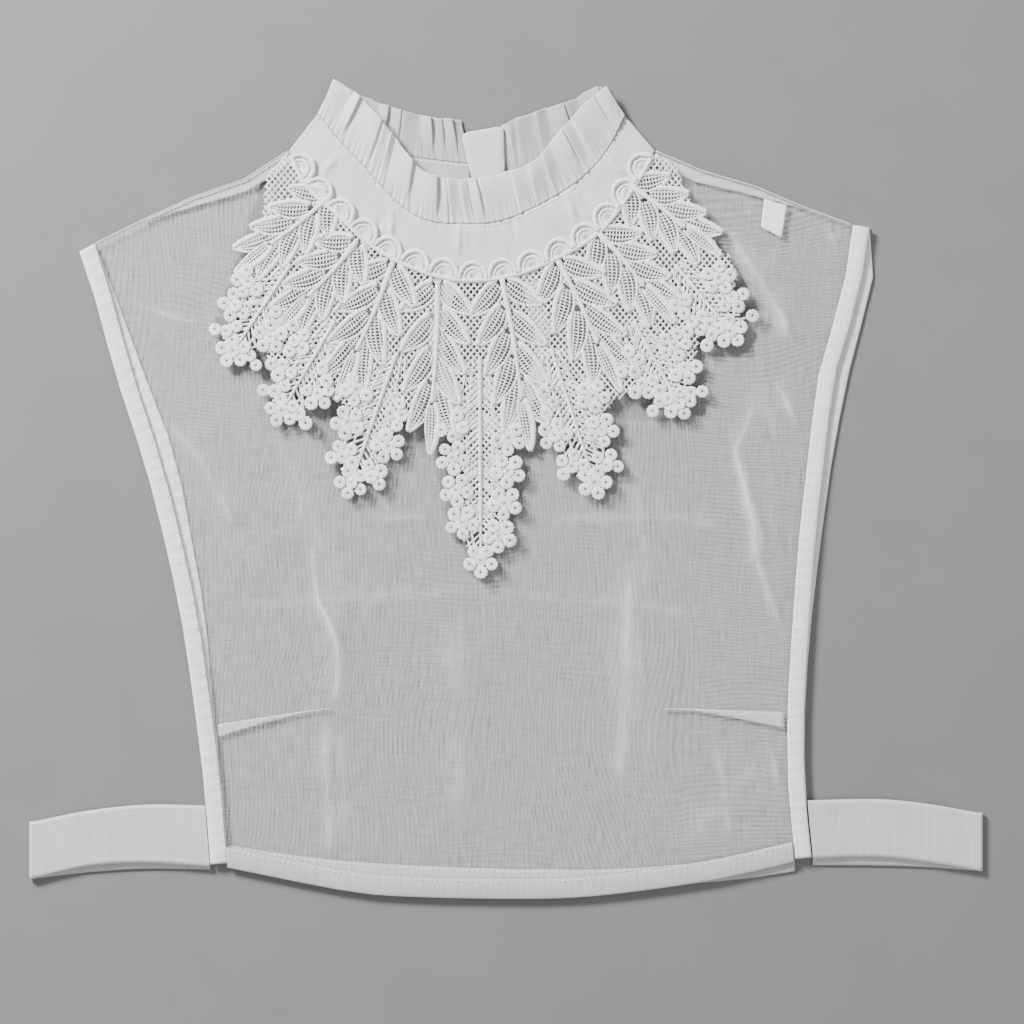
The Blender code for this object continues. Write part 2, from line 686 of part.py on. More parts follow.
def lap_outline():
    """Return the closure lap's outline, with one rounded upper corner."""
    low_left, low_right, high_right, high_left = (np.array(corner) for corner in LAP_CORNERS)
    along = unit(high_right - high_left)
    down = unit(low_left - high_left)
    corner = []
    for t in np.linspace(0.0, 1.0, 5):
        corner.append(high_left + LAP_ROUNDING * (along * (1 - t) ** 2 + down * t ** 2))
    return [low_left, low_right, high_right, *corner]


def build_collar(collection):
    """Build the stand, the ruffle and the closure lap."""
    build_stand("stand_front", COLLAR_FRONT, True, collection)
    build_stand("stand_back_left", COLLAR_BACK_LEFT, False, collection)
    build_stand("stand_back_right", COLLAR_BACK_RIGHT, False, collection)
    build_ruffle("ruffle_front", COLLAR_FRONT, FRONT_GATHERS, True, collection)
    build_ruffle("ruffle_back_left", COLLAR_BACK_LEFT, BACK_LEFT_GATHERS, False, collection)
    build_ruffle("ruffle_back_right", COLLAR_BACK_RIGHT, BACK_RIGHT_GATHERS, False, collection)
    add_plate("closure_lap", lap_outline(), LAP_LEVEL, BAND_WALL, "collar_cloth", collection)


# The lace
class LacePlan:
    """Outlines and ridges of the lace in the plan, with the height of each point."""

    def __init__(self):
        self.points = []
        self.heights = []
        self.faces = []
        self.edges = []
        self.kinds = []

    def add_points(self, points, height):
        """Add points at one height above the lace's underside, and return their numbers."""
        first = len(self.points)
        self.points += [(float(x), float(y)) for x, y in points]
        self.heights += [height] * len(points)
        return list(range(first, len(self.points)))

    def add_outline(self, points, height, kind):
        """Add a closed outline, turned anticlockwise."""
        points = [tuple(point) for point in points]
        area = sum(a[0] * b[1] - b[0] * a[1] for a, b in zip(points, points[1:] + points[:1]))
        if area < 0.0:
            points.reverse()
        self.faces.append(self.add_points(points, height))
        self.kinds.append(kind)

    def add_ridge(self, points, height):
        """Add a raised line inside an outline."""
        numbers = self.add_points(points, height)
        self.edges += list(zip(numbers, numbers[1:]))


def unit(vector):
    """Return a vector's direction."""
    return np.asarray(vector, float) / np.linalg.norm(vector)


def turned(vector, degrees):
    """Turn a plan vector anticlockwise."""
    angle = math.radians(degrees)
    x, y = vector
    return np.array((x * math.cos(angle) - y * math.sin(angle), x * math.sin(angle) + y * math.cos(angle)))


def spindle(start, way, length, width, profile):
    """Return a long outline whose width changes along it as the profile says."""
    side = turned(way, 90) * width
    right = [start + way * length * t - side * half for t, half in profile]
    left = [start + way * length * t + side * half for t, half in reversed(profile)]
    return right + left


def add_leaf(plan, base, way, length, width):
    """Add a pointed leaf with a raised midrib."""
    way = unit(way)
    plan.add_outline(spindle(base, way, length, width, LEAF_PROFILE), NET_WALL, "leaf")
    plan.add_ridge([base + way * length * t for t in LEAF_RIB], NET_WALL + LEAF_RISE)


def add_stem(plan, start, end, width):
    """Add a straight raised stem, wider at its root."""
    way = unit(end - start)
    side = turned(way, 90)
    wide = side * width / 2
    narrow = side * width / 3
    plan.add_outline([start + wide, end + narrow, end - narrow, start - wide], NET_WALL, "stem")
    length = np.linalg.norm(end - start)
    ridge = [start + way * STEM_END, start + way * length / 2, end - way * STEM_END]
    plan.add_ridge(ridge, NET_WALL + STEM_RISE)


def add_sprig(plan, root, end, left_leaves, right_leaves, length, width):
    """Add a stem with leaves on both sides and one at its end."""
    root = np.array(root)
    end = np.array(end)
    way = unit(end - root)
    reach = np.linalg.norm(end - root)
    stem_end = root + way * (reach - length)
    add_stem(plan, root, stem_end, STEM_WIDTH)
    add_leaf(plan, stem_end, way, length, width)
    for side, leaves in ((-1, left_leaves), (1, right_leaves)):
        for i in range(leaves - 1):
            t = (i + SIDE_LEAF_START) / (leaves - SIDE_LEAF_SPACING)
            base = root + way * t * (reach - length) + turned(way, side * 90) * SIDE_LEAF_FOOT
            angle = side * (SIDE_LEAF_ANGLE - SIDE_LEAF_CLOSING * i)
            add_leaf(plan, base, turned(way, angle), length * SIDE_LEAF_SCALE, width)


def add_cluster(plan, centre, way):
    """Add a round cluster of berries, each lobe with its own dome."""
    centre = np.asarray(centre, float)
    outline = []
    domes = []
    for i in range(CLUSTER_BERRIES):
        spoke = turned(way, 360 * i / CLUSTER_BERRIES)
        middle = centre + spoke * BERRY_PLACE
        domes.append(middle)
        for angle in BERRY_ANGLES:
            outline.append(middle + turned(spoke, angle) * BERRY_RADIUS)
    plan.add_outline(outline, NET_WALL, "berry")
    for dome in domes:
        plan.add_points([dome], NET_WALL + BERRY_RISE)
    plan.add_points([centre], NET_WALL * CLUSTER_HOLLOW)


def spray_places(root, point, half_width, pairs):
    """Return the centres of a spray's clusters and their outward directions."""
    root = np.array(root)
    point = np.array(point)
    way = unit(point - root)
    reach = np.linalg.norm(point - root)
    tip = point - way * (CLUSTER_RADIUS + BERRY_RADIUS - 1.0)
    places = [(tip, way)]
    for i in range(pairs):
        share = i / (pairs - 1)
        t = FIRST_CLUSTER + CLUSTER_SPAN * share
        aside = half_width * SPRAY_FILL * (1.0 - SPRAY_TAPER * share ** 2)
        for side in (-1, 1):
            out = turned(way, side * 90)
            middle = root + way * reach * (t + CLUSTER_SHIFT * side) + out * aside
            places.append((middle, turned(out, -side * CLUSTER_TILT)))
    return places


def add_spray(plan, root, point, half_width, pairs):
    """Add a stem with berry clusters on both sides and one at its point."""
    places = spray_places(root, point, half_width, pairs)
    root = np.array(root)
    way = unit(np.array(point) - root)
    tip = places[0][0]
    add_stem(plan, root, tip, SPRAY_STEM_WIDTH)
    across = turned(way, 90) * SPRAY_ROOT_WIDTH / 2
    right = [centre for centre, _ in places[1::2]]
    left = [centre for centre, _ in places[2::2]]
    plan.add_outline([root - across, root + across, *left, tip, *right[::-1]], NET_WALL, "net")
    for centre, direction in places:
        add_cluster(plan, centre, direction)
    for i in range(SPRAY_HOLES):
        t = FIRST_HOLE + HOLE_SPACING * i
        for side in (-1, 1):
            start = root + (tip - root) * t + turned(way, side * 90) * HOLE_ASIDE
            hole_way = turned(way, side * HOLE_TILT)
            outline = spindle(start, hole_way, HOLE_LENGTH, HOLE_WIDTH, HOLE_PROFILE)
            plan.add_outline(outline, NET_WALL, "hole")


def add_scallops(plan):
    """Add the row of raised arcs that covers the foot of the stand."""
    foot = smooth_line([section[0] for section in COLLAR_FRONT])
    ends = even_points(offset_line(foot, SCALLOP_OVERLAP)[2:-2], SCALLOPS + 1)
    for start, end in zip(ends[:-1], ends[1:]):
        middle = (start + end) / 2
        along = (end - start) * 0.5
        up = turned(unit(along), 90)
        outline = []
        ridge = []
        for step in range(SCALLOP_STEPS):
            angle = math.pi * step / (SCALLOP_STEPS - 1)
            arc = up * SCALLOP_HEIGHT * math.sin(angle) - along * math.cos(angle)
            outline.append(middle + arc)
            if 0 < step < SCALLOP_STEPS - 1:
                ridge.append(middle + arc * SCALLOP_RIDGE)
        plan.add_outline(outline, NET_WALL, "scallop")
        plan.add_ridge(ridge, NET_WALL + SCALLOP_RISE)


def lace_plan():
    """Lay out the whole lace."""
    plan = LacePlan()
    plan.add_outline(NET_OUTLINE, NET_WALL, "net")
    add_scallops(plan)
    for _, root, end, left_leaves, right_leaves, length, width in SPRIGS:
        add_sprig(plan, root, end, left_leaves, right_leaves, length, width)
    for _, root, point, half_width, pairs in SPRAYS:
        add_spray(plan, root, point, half_width, pairs)
    return plan


def covered(kinds):
    """Say whether lace lies where these outlines overlap."""
    solid = kinds & {"leaf", "stem", "berry", "scallop"}
    return bool(solid) or ("net" in kinds and "hole" not in kinds)


def build_lace(collection):
    """Build the lace as one low relief: its outlines merged, then raised to their heights."""
    plan = lace_plan()
    merged = delaunay_2d_cdt(plan.points, plan.edges, plan.faces, 0, POINT_MERGE, True)
    points, _, faces, origins, _, owners = merged
    bm = bmesh.new()
    verts = [bm.verts.new((x * MM, y * MM, LACE_LEVEL * MM)) for x, y in points]
    heights = [max([plan.heights[o] for o in origin], default=NET_WALL) for origin in origins]
    for face, owner in zip(faces, owners):
        if covered({plan.kinds[number] for number in owner}):
            bm.faces.new([verts[number] for number in face])
    mend_touching_corners(bm, verts, faces)
    lift = {vert: height for vert, height in zip(verts, heights)}
    loose = [vert for vert in verts if not vert.link_faces]
    bmesh.ops.delete(bm, geom=loose, context='VERTS')
    raise_relief(bm, lift)
    add_object("lace", bm, "lace_thread", collection)


def mend_touching_corners(bm, verts, faces):
    """Fill the small gaps where two parts of the lace would touch at a single point."""
    for number, vert in enumerate(verts):
        vert.index = number
    used = {frozenset(vert.index for vert in face.verts) for face in bm.faces}
    for _ in range(MEND_ROUNDS):
        crowded = {vert.index for vert in verts if sum(edge.is_boundary for edge in vert.link_edges) > 2}
        for face in faces:
            key = frozenset(face)
            if key not in used and crowded & key and small_gap(verts, face):
                bm.faces.new([verts[number] for number in face])
                used.add(key)


def small_gap(verts, face):
    """Say whether a triangle is small enough to close."""
    a, b, c = (verts[number].co for number in face)
    return (b - a).cross(c - a).length / 2 < MEND_AREA * MM * MM


def raise_relief(bm, lift):
    """Give the flat lace its thickness, with a plain underside."""
    base_faces = list(bm.faces)
    result = bmesh.ops.extrude_face_region(bm, geom=base_faces, use_keep_orig=True)
    raised = [item for item in result["geom"] if isinstance(item, bmesh.types.BMVert)]
    base = {(vert.co.x, vert.co.y): height for vert, height in lift.items() if vert.is_valid}
    for vert in raised:
        vert.co.z += base[(vert.co.x, vert.co.y)] * MM
    bmesh.ops.recalc_face_normals(bm, faces=bm.faces)
    underside = [face for face in bm.faces if face.normal.z < -0.999]
    edges = {edge for face in underside for edge in face.edges}
    bmesh.ops.dissolve_limit(bm, angle_limit=0.001, verts=[], edges=list(edges))


def main():
    """Clear the scene and build every piece."""
    for obj in list(bpy.data.objects):
        bpy.data.objects.remove(obj, do_unlink=True)
    collection = bpy.data.collections.new("false_collar")
    cutters = bpy.data.collections.new("cutters")
    bpy.context.scene.collection.children.link(collection)
    bpy.context.scene.collection.children.link(cutters)
    front_neck = offset_line(collar_foot(COLLAR_FRONT, FRONT_NECK_COLUMNS), -SEAM)
    back_necks = [offset_line(collar_foot(sections, BACK_NECK_COLUMNS), -SEAM)
                  for sections in (COLLAR_BACK_LEFT, COLLAR_BACK_RIGHT)]
    back_neck = np.vstack(back_necks)
    build_panel("back", 2, BACK_HEM, back_neck, BACK_LEVEL, back_level, BACK_DROP, collection, cutters)
    build_panel("front", 1, FRONT_HEM, front_neck, FRONT_LEVEL, front_level, FRONT_DROP, collection,
                cutters)
    build_inside_pieces(collection)
    build_elastic("side_elastic_left", LEFT_ELASTIC, collection)
    build_elastic("side_elastic_right", RIGHT_ELASTIC, collection)
    build_collar(collection)
    build_lace(collection)


main()
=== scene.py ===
# %% [markdown]
# # A false collar, laid flat
# A false collar is the neck and chest of a blouse with nothing below: two sheer
# panels joined at the shoulders, a stand collar with a gathered ruffle, lace over
# the chest and elastic straps at the sides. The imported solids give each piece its
# place. This file gives each piece its cloth, thread and light. Lengths in the
# tables are in millimetres; the front looks up (+Z) and the neck points to +Y.

import math
from functools import lru_cache

import bmesh
import bpy
import numpy as np
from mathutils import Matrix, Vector, noise
from mathutils.geometry import delaunay_2d_cdt


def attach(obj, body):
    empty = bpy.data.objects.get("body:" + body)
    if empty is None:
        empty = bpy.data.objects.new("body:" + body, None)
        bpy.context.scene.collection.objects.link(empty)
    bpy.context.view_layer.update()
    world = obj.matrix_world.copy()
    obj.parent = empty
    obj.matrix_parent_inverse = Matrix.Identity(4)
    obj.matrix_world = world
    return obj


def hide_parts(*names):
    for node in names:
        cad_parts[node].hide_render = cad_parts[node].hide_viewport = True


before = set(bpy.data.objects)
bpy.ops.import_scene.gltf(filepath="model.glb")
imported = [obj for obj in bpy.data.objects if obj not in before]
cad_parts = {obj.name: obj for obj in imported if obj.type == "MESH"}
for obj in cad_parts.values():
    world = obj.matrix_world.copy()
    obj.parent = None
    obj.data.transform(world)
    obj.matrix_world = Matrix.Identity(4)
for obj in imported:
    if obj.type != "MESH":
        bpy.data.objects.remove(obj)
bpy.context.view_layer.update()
MM = 0.001
SEED = 11
rng = np.random.default_rng(SEED)
print("pieces in the model:", len(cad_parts))

# %% [markdown]
# ## Finishes
# Every finish is a set of nodes on one shader. A photograph of the weave would
# blur close up, so threads are made from waves and noise that stay sharp at any
# distance. The waves have the real pitch of the threads, in millimetres.

# %% A short way to write shader nodes
WAVE_LENGTH = 314.16  # of a wave texture at scale 1, in millimetres


class Finish:
    """A material, with short calls that add nodes to it."""

    def __init__(self, name, roughness):
        self.material = bpy.data.materials.new(name)
        self.material.use_nodes = True
        self.tree = self.material.node_tree
        self.shader = self.tree.nodes["Principled BSDF"]
        self.put("Roughness", roughness)
        self.place = self.tree.nodes.new("ShaderNodeTexCoord").outputs["Object"]

    def put(self, socket, value):
        """Set an input of the shader, or of another node, or link it."""
        if isinstance(socket, str):
            socket = self.shader.inputs[socket]
        if isinstance(value, bpy.types.NodeSocket):
            self.tree.links.new(value, socket)
        elif isinstance(value, tuple) and socket.type == 'RGBA':
            socket.default_value = (*value, 1.0)
        else:
            socket.default_value = value

    def add(self, kind, *values, out=0, **settings):
        """Add a node: values fill its inputs in order, settings by name."""
        node = self.tree.nodes.new("ShaderNode" + kind)
        for key, value in settings.items():
            if hasattr(node, key):
                setattr(node, key, value)
            else:
                self.put(node.inputs[key.replace("_", " ")], value)
        for socket, value in zip(node.inputs, values):
            self.put(socket, value)
        return node.outputs[out]

    def math(self, operation, *values):
        """Add one step of arithmetic."""
        return self.add("Math", *values, operation=operation)

    def threads(self, pitch, direction, warp=0.0, place=None):
        """Add waves with the pitch of the threads."""
        return self.add("TexWave", Vector=place or self.place, bands_direction=direction,
                        Scale=WAVE_LENGTH / pitch, Distortion=warp, Detail=1.0)

    def cloud(self, size, stretch=(1.0, 1.0, 1.0), detail=3.0):
        """Add soft noise with features of that size, stretched as given."""
        scale = tuple(1.0 / (size * MM * s) for s in stretch)
        place = self.add("Mapping", Vector=self.place, Scale=scale)
        return self.add("TexNoise", Vector=place, Scale=1.0, Detail=detail)

    def span(self, value, low, high):
        """Spread a value from 0..1 to low..high."""
        return self.add("MapRange", value, 0.0, 1.0, low, high)

    def bump(self, height, distance):
        """Raise the surface by a height field, at most that many millimetres."""
        normal = self.add("Bump", Strength=1.0, Distance=distance * MM, Height=height)
        self.put("Normal", normal)


# %% [markdown]
# ### Chiffon and dense cloth
# Chiffon is woven so open that light passes between its threads. Its opacity is low,
# with fine streaks of thread in it. Where two layers lie over each other, their
# threads fall in and out of step and make bands, the moire. Two sets of waves stand
# for it, bent by a value stored on each point of the panel. Dense cloth hides what
# is below, so its weave is a bump and only its tone varies.

# %% Sheer chiffon
MOIRE_PITCHES = (2.3, 2.1)  # of the two sets of waves
MOIRE_MIX = (0.35, 0.65, 0.2, 0.85)  # drift from, to; share of the second waves from, to
CREASE_AND_SHADE_OPACITY = 0.34
STRAND, STRAND_LENGTH = 0.7, 16.0


def chiffon(name, opacity, streak, moire, crossed=True):
    """Fine open weave: light passes between its threads."""
    cloth = Finish(name, 0.75)
    warp = cloth.add("Attribute", attribute_name="warp", out=1)
    warped = cloth.add("VectorMath", cloth.place, warp, operation='ADD')
    drift = cloth.add("Attribute", attribute_name="drift", out=2)
    crease = cloth.add("Attribute", attribute_name="crease", out=2)
    grain, rings = (cloth.threads(pitch, way, 0.0, warped)
                    for pitch, way in zip(MOIRE_PITCHES, "XY"))
    waves = cloth.add("MixRGB", cloth.add("MapRange", drift, *MOIRE_MIX), grain, rings)
    down = cloth.cloud(STRAND, (1.0, STRAND_LENGTH, 1.0), 0.0)
    across = cloth.cloud(STRAND, (STRAND_LENGTH, 1.0, 1.0), 0.0) if crossed else down
    strands = cloth.math('ADD', down, across)
    alpha = cloth.math('MULTIPLY_ADD', strands, streak, opacity - streak - moire / 2)
    alpha = cloth.math('MULTIPLY_ADD', waves, moire, alpha)
    # the crease value also carries painted shade under the lace, where it is negative and clears
    # the chiffon
    alpha = cloth.math('MULTIPLY_ADD', crease, CREASE_AND_SHADE_OPACITY, alpha)
    cloth.put("Alpha", alpha)
    cloth.put("Base Color", cloth.add("MixRGB", cloth.math('MULTIPLY', strands, 0.5),
                                      (0.84, 0.84, 0.86), (0.97, 0.97, 0.98)))
    cloth.put("Sheen Weight", 0.15)
    cloth.put("Sheen Roughness", 0.5)
    return cloth.material


# %% Dense cloth
SLUB, SLUB_LENGTH = 2.2, 7.0  # thick places in the yarn
PATCH = 16.0  # slow changes of tone


def dense_cloth(name, low, high, roughness, pitch, depth):
    """Close weave that hides what lies under it."""
    cloth = Finish(name, roughness)
    weave = cloth.math('MULTIPLY', cloth.threads(pitch, 'X', 0.3),
                       cloth.threads(pitch * 1.1, 'Y', 0.3))
    slub = cloth.cloud(SLUB, (1.0, SLUB_LENGTH, 1.0))
    wide = cloth.cloud(PATCH)
    tone = cloth.math('ADD', cloth.math('MULTIPLY', slub, 0.6), cloth.math('MULTIPLY', wide, 0.4))
    cloth.put("Base Color", cloth.add("MixRGB", tone, low, high))
    cloth.put("Roughness", cloth.span(slub, roughness - 0.08, roughness + 0.1))
    cloth.put("Sheen Weight", 0.2)
    cloth.put("Sheen Roughness", 0.45)
    relief = cloth.math('ADD', weave, cloth.math('MULTIPLY', slub, 2.0))
    cloth.bump(cloth.math('ADD', relief, cloth.math('MULTIPLY', wide, 3.0)), depth)
    return cloth.material


CHIFFON_FRONT = chiffon("chiffon front", 0.066, 0.09, 0.062)
CHIFFON_BACK = chiffon("chiffon back", 0.060, 0.06, 0.03, crossed=False)
ALLOWANCE = dense_cloth("folded allowance", (0.42, 0.42, 0.43), (0.58, 0.58, 0.59),
                        0.75, 0.42, 0.05)
BINDING = dense_cloth("binding", (0.74, 0.725, 0.725), (0.90, 0.88, 0.88), 0.7, 0.42, 0.10)
HEM = dense_cloth("hem", (0.38, 0.378, 0.38), (0.58, 0.576, 0.58), 0.75, 0.42, 0.12)
# painted shade: a darker copy of the collar cloth for the back band and back ruffle, which lie in
# shade
COLLAR_PAINTED_SHADE = dense_cloth("collar cloth, back, painted shade", (0.38, 0.38, 0.39), (0.53, 0.53, 0.54),
                          0.74, 0.40, 0.08)
COLLAR = dense_cloth("collar cloth", (0.57, 0.565, 0.57), (0.72, 0.715, 0.72), 0.72, 0.40, 0.10)
TAPE = dense_cloth("bare tape", (0.88, 0.88, 0.89), (0.95, 0.95, 0.96), 0.42, 0.30, 0.03)
ELASTIC = dense_cloth("elastic", (0.46, 0.452, 0.45), (0.58, 0.572, 0.57), 0.66, 0.55, 0.08)

# %% [markdown]
# ### Thread
# Thread is plied: its twist shows as ridges across its length. Each cord stores how
# far along it a point lies, and the ridges are a sine of that distance, so they
# follow every bend.


# %% Thread
def thread(name, low, high, roughness, ply, depth):
    """Twisted thread: ridges across its length and a soft shine."""
    cord = Finish(name, roughness)
    along = cord.add("Attribute", attribute_name="along", out=2)
    ridges = cord.math('SINE', cord.math('MULTIPLY', along, 2 * math.pi / ply))
    fuzz = cord.cloud(0.7, detail=2.0)
    tone = cord.math('MULTIPLY', cord.span(ridges, 0.75, 1.0), cord.span(fuzz, 0.55, 1.15))
    cord.put("Base Color", cord.add("MixRGB", tone, low, high))
    cord.put("Roughness", cord.span(fuzz, roughness - 0.1, roughness + 0.12))
    cord.put("Sheen Weight", 0.2)
    cord.put("Sheen Roughness", 0.4)
    relief = cord.math('ADD', cord.span(ridges, 0.0, 0.8), cord.math('MULTIPLY', fuzz, 1.6))
    cord.bump(relief, depth)
    return cord.material


LACE_THREAD = thread("lace thread", (0.80, 0.79, 0.785), (0.97, 0.965, 0.96), 0.6, 0.6, 0.22)
SEWING_THREAD = thread("sewing thread", (0.80, 0.79, 0.79), (0.96, 0.95, 0.95), 0.5, 0.25, 0.03)
print("finishes:", len(bpy.data.materials))

# %% [markdown]
# ## Lines, shells and cords
# Cloth is drawn as a grid of points with a thin wall on it, and thread as a tube
# along a line. Both are built point by point, because a modifier can't know where
# a crease or a stitch belongs.


# %% Smooth lines
def even(line, step=None, count=None):
    """Space a line's points evenly."""
    line = np.asarray(line, float)
    lengths = np.linalg.norm(np.diff(line[:, :2], axis=0), axis=1)
    along = np.concatenate([[0.0], np.cumsum(lengths)])
    count = count or max(int(round(along[-1] / step)), 1) + 1
    places = np.linspace(0.0, along[-1], count)
    return np.stack([np.interp(places, along, column) for column in line.T], axis=1)


def smooth(points, step=None, count=None):
    """Run a smooth line through the points."""
    points = np.asarray(points, float)
    padded = np.vstack([2 * points[0] - points[1], points, 2 * points[-1] - points[-2]])
    t = np.linspace(0.0, 1.0, 16, endpoint=False)[:, None]
    runs = []
    for a, b, c, d in zip(padded[:-3], padded[1:-2], padded[2:-1], padded[3:]):
        runs.append(0.5 * (2 * b + (c - a) * t + (2 * a - 5 * b + 4 * c - d) * t ** 2
                           + (3 * b - a - 3 * c + d) * t ** 3))
    return even(np.vstack(runs + [points[-1:]]), step, count)


def unit(vectors):
    """Directions of one vector or of several."""
    vectors = np.asarray(vectors, float)
    return vectors / np.linalg.norm(vectors, axis=-1, keepdims=True)


def turned(vector, degrees):
    """Turn a plan vector anticlockwise."""
    a = math.radians(degrees)
    x, y = vector
    return np.array((x * math.cos(a) - y * math.sin(a), x * math.sin(a) + y * math.cos(a)))


def fade(t):
    """Rise softly from 0 to 1."""
    t = np.clip(t, 0.0, 1.0)
    return t * t * (3 - 2 * t)


# %% Pieces
def set_values(mesh, name, values):
    """Store one number on each point of a mesh, for a finish to read."""
    values = np.asarray(values, np.float32)
    mesh.attributes.new(name, 'FLOAT', 'POINT').data.foreach_set("value", values)


def soften(mesh):
    """Shade a mesh as one smooth surface."""
    mesh.polygons.foreach_set("use_smooth", np.ones(len(mesh.polygons), dtype=bool))


def add_object(name, data):
    """Put a mesh, a light or a camera into the scene."""
    thing = bpy.data.objects.new(name, data)
    bpy.context.scene.collection.objects.link(thing)
    return thing


def add_piece(name, verts, faces, material, nodes=()):
    """Make a piece of the collar that rides with the model, from points in millimetres."""
    mesh = bpy.data.meshes.new(name)
    mesh.from_pydata((np.asarray(verts) * MM).tolist(), [], faces)
    mesh.materials.append(material)
    soften(mesh)
    mesh.update()
    piece = add_object(name, mesh)
    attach(piece, "root")
    if nodes:
        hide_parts(*nodes)
    return piece


def shell(name, grid, wall, material, nodes=()):
    """Make a thin wall of cloth on a grid of points."""
    grid = np.asarray(grid, float)
    normal = np.cross(np.gradient(grid, axis=1), np.gradient(grid, axis=0))
    if normal[..., 2].sum() < 0.0:
        grid = grid[:, ::-1]
        normal = np.cross(np.gradient(grid, axis=1), np.gradient(grid, axis=0))
    normal = unit(normal) * wall / 2
    index = np.arange(grid.shape[0] * grid.shape[1]).reshape(grid.shape[:2])
    quads = np.stack([index[:-1, :-1], index[:-1, 1:], index[1:, 1:], index[1:, :-1]], -1)
    edge = np.concatenate([index[0, :-1], index[:-1, -1], index[-1, :0:-1], index[:0:-1, 0]])
    return close_shell(name, (grid + normal).reshape(-1, 3), (grid - normal).reshape(-1, 3),
                       quads.reshape(-1, 4), edge, material, nodes)


def close_shell(name, top, bottom, faces, edge, material, nodes=()):
    """Join an upper and a lower surface round their edge."""
    count = len(top)
    after = np.roll(edge, -1)
    rim = np.stack([edge, edge + count, after + count, after], -1)
    every = [*faces.tolist(), *(faces[:, ::-1] + count).tolist(), *rim.tolist()]
    return add_piece(name, np.vstack([top, bottom]), every, material, nodes)


# %% Cords
def tube_faces(index):
    """Faces of a tube, from the numbers of the points in its rings, with a cap at each end."""
    here, there = index[:-1], index[1:]
    quads = np.stack([here, there, np.roll(there, -1, axis=1), np.roll(here, -1, axis=1)], -1)
    return quads.reshape(-1, 4).tolist() + [index[0].tolist(), index[-1, ::-1].tolist()]


class Cords:
    """Gathers tubes of thread, so that many cords become one piece."""

    def __init__(self):
        self.verts = []
        self.along = []
        self.faces = []
        self.count = 0

    def add(self, path, radius, sides, flat, rough=0.0):
        """Add a tube along a path: flat lowers it, and rough makes its radius uneven."""
        path = np.asarray(path, float)
        way = unit(np.gradient(path, axis=0))
        side = unit(np.cross(way, (0.0, 0.0, 1.0)))
        up = np.cross(side, way)
        radius = np.asarray(radius, float) * (1.0 + rough * rng.uniform(-1.0, 1.0, len(path)))
        angle = np.linspace(0.0, 2 * math.pi, sides, endpoint=False)[None, :, None]
        ring = side[:, None] * np.cos(angle) + up[:, None] * np.sin(angle) * flat
        steps = np.linalg.norm(np.diff(path, axis=0), axis=1)
        self.along.append(np.repeat(np.concatenate([[0.0], np.cumsum(steps)]), sides))
        self.verts.append((path[:, None] + ring * radius[:, None, None]).reshape(-1, 3))
        index = np.arange(len(path) * sides).reshape(len(path), sides) + self.count
        self.faces += tube_faces(index)
        self.count += index.size

    def piece(self, name, material, slot, nodes=()):
        """Turn the cords into one piece."""
        piece = add_piece(name, np.vstack(self.verts), self.faces, material, nodes)
        set_values(piece.data, "along", np.concatenate(self.along))
        print(name, len(self.faces), "faces")
        return piece


def lift(plan, height):
    """Give a plan line its height."""
    plan = np.atleast_2d(np.asarray(plan, float))
    return np.column_stack([plan[:, :2], np.broadcast_to(height, len(plan))])


# %% [markdown]
# ### Outlines of the solids
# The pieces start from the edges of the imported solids, so cloth and solid agree. A
# strip's outline is split at its four corners into its two long sides.

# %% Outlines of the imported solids
BODY_MIDDLE = np.array((-10.0, -20.0))  # a strip's inner edge is the one nearer to it


def rim(name):
    """Return the outline of a solid's upper face, in millimetres."""
    bm = bmesh.new()
    bm.from_mesh(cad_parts[name].data)
    bmesh.ops.remove_doubles(bm, verts=bm.verts, dist=1e-6)
    bm.normal_update()
    bmesh.ops.delete(bm, geom=[f for f in bm.faces if f.normal.z < 0.5], context='FACES')
    bm.edges.index_update()
    loops = []
    edges = {e for e in bm.edges if e.is_boundary}
    while edges:
        edge = min(edges, key=lambda e: e.index)
        edges.discard(edge)
        start, vert = edge.verts
        loop = [start.co.copy()]
        while vert != start:
            loop.append(vert.co.copy())
            edge = next(e for e in vert.link_edges if e in edges)
            edges.discard(edge)
            vert = edge.other_vert(vert)
        loops.append(np.array(loop) / MM)
    bm.free()
    return max(loops, key=lambda loop: np.ptp(loop[:, 0]) * np.ptp(loop[:, 1]))


@lru_cache(None)
def long_sides(name):
    """Return a strip's outer and inner edge, running the same way."""
    loop = rim(name)[:, :2]
    before = unit(loop - np.roll(loop, 1, axis=0))
    after = unit(np.roll(loop, -1, axis=0) - loop)
    turn = np.arccos(np.clip((before * after).sum(axis=1), -1.0, 1.0))
    corners = np.sort(np.argsort(turn)[-4:])
    loop = np.roll(loop, -corners[0], axis=0)
    stops = [*(corners - corners[0]), len(loop)]
    closed = np.vstack([loop, loop[:1]])
    runs = [closed[a:b + 1] for a, b in zip(stops[:-1], stops[1:])]
    lengths = [np.linalg.norm(np.diff(run, axis=0), axis=1).sum() for run in runs]
    pair = (0, 2) if lengths[0] + lengths[2] > lengths[1] + lengths[3] else (1, 3)
    one, two = runs[pair[0]], runs[pair[1]][::-1]
    if (np.linalg.norm(one.mean(axis=0) - BODY_MIDDLE)
            < np.linalg.norm(two.mean(axis=0) - BODY_MIDDLE)):
        one, two = two, one
    return one, two


print("front panel's outline:", len(rim("front_panel")), "points")

# %% [markdown]
# ## The two panels
# Each panel is one layer of chiffon. It is cut round the outline of its solid and
# filled with points close enough together to carry small creases. A crease is a
# short table row: a line, a half width and a height. The creases follow the
# photograph on the front, and the back has similar ones of its own.

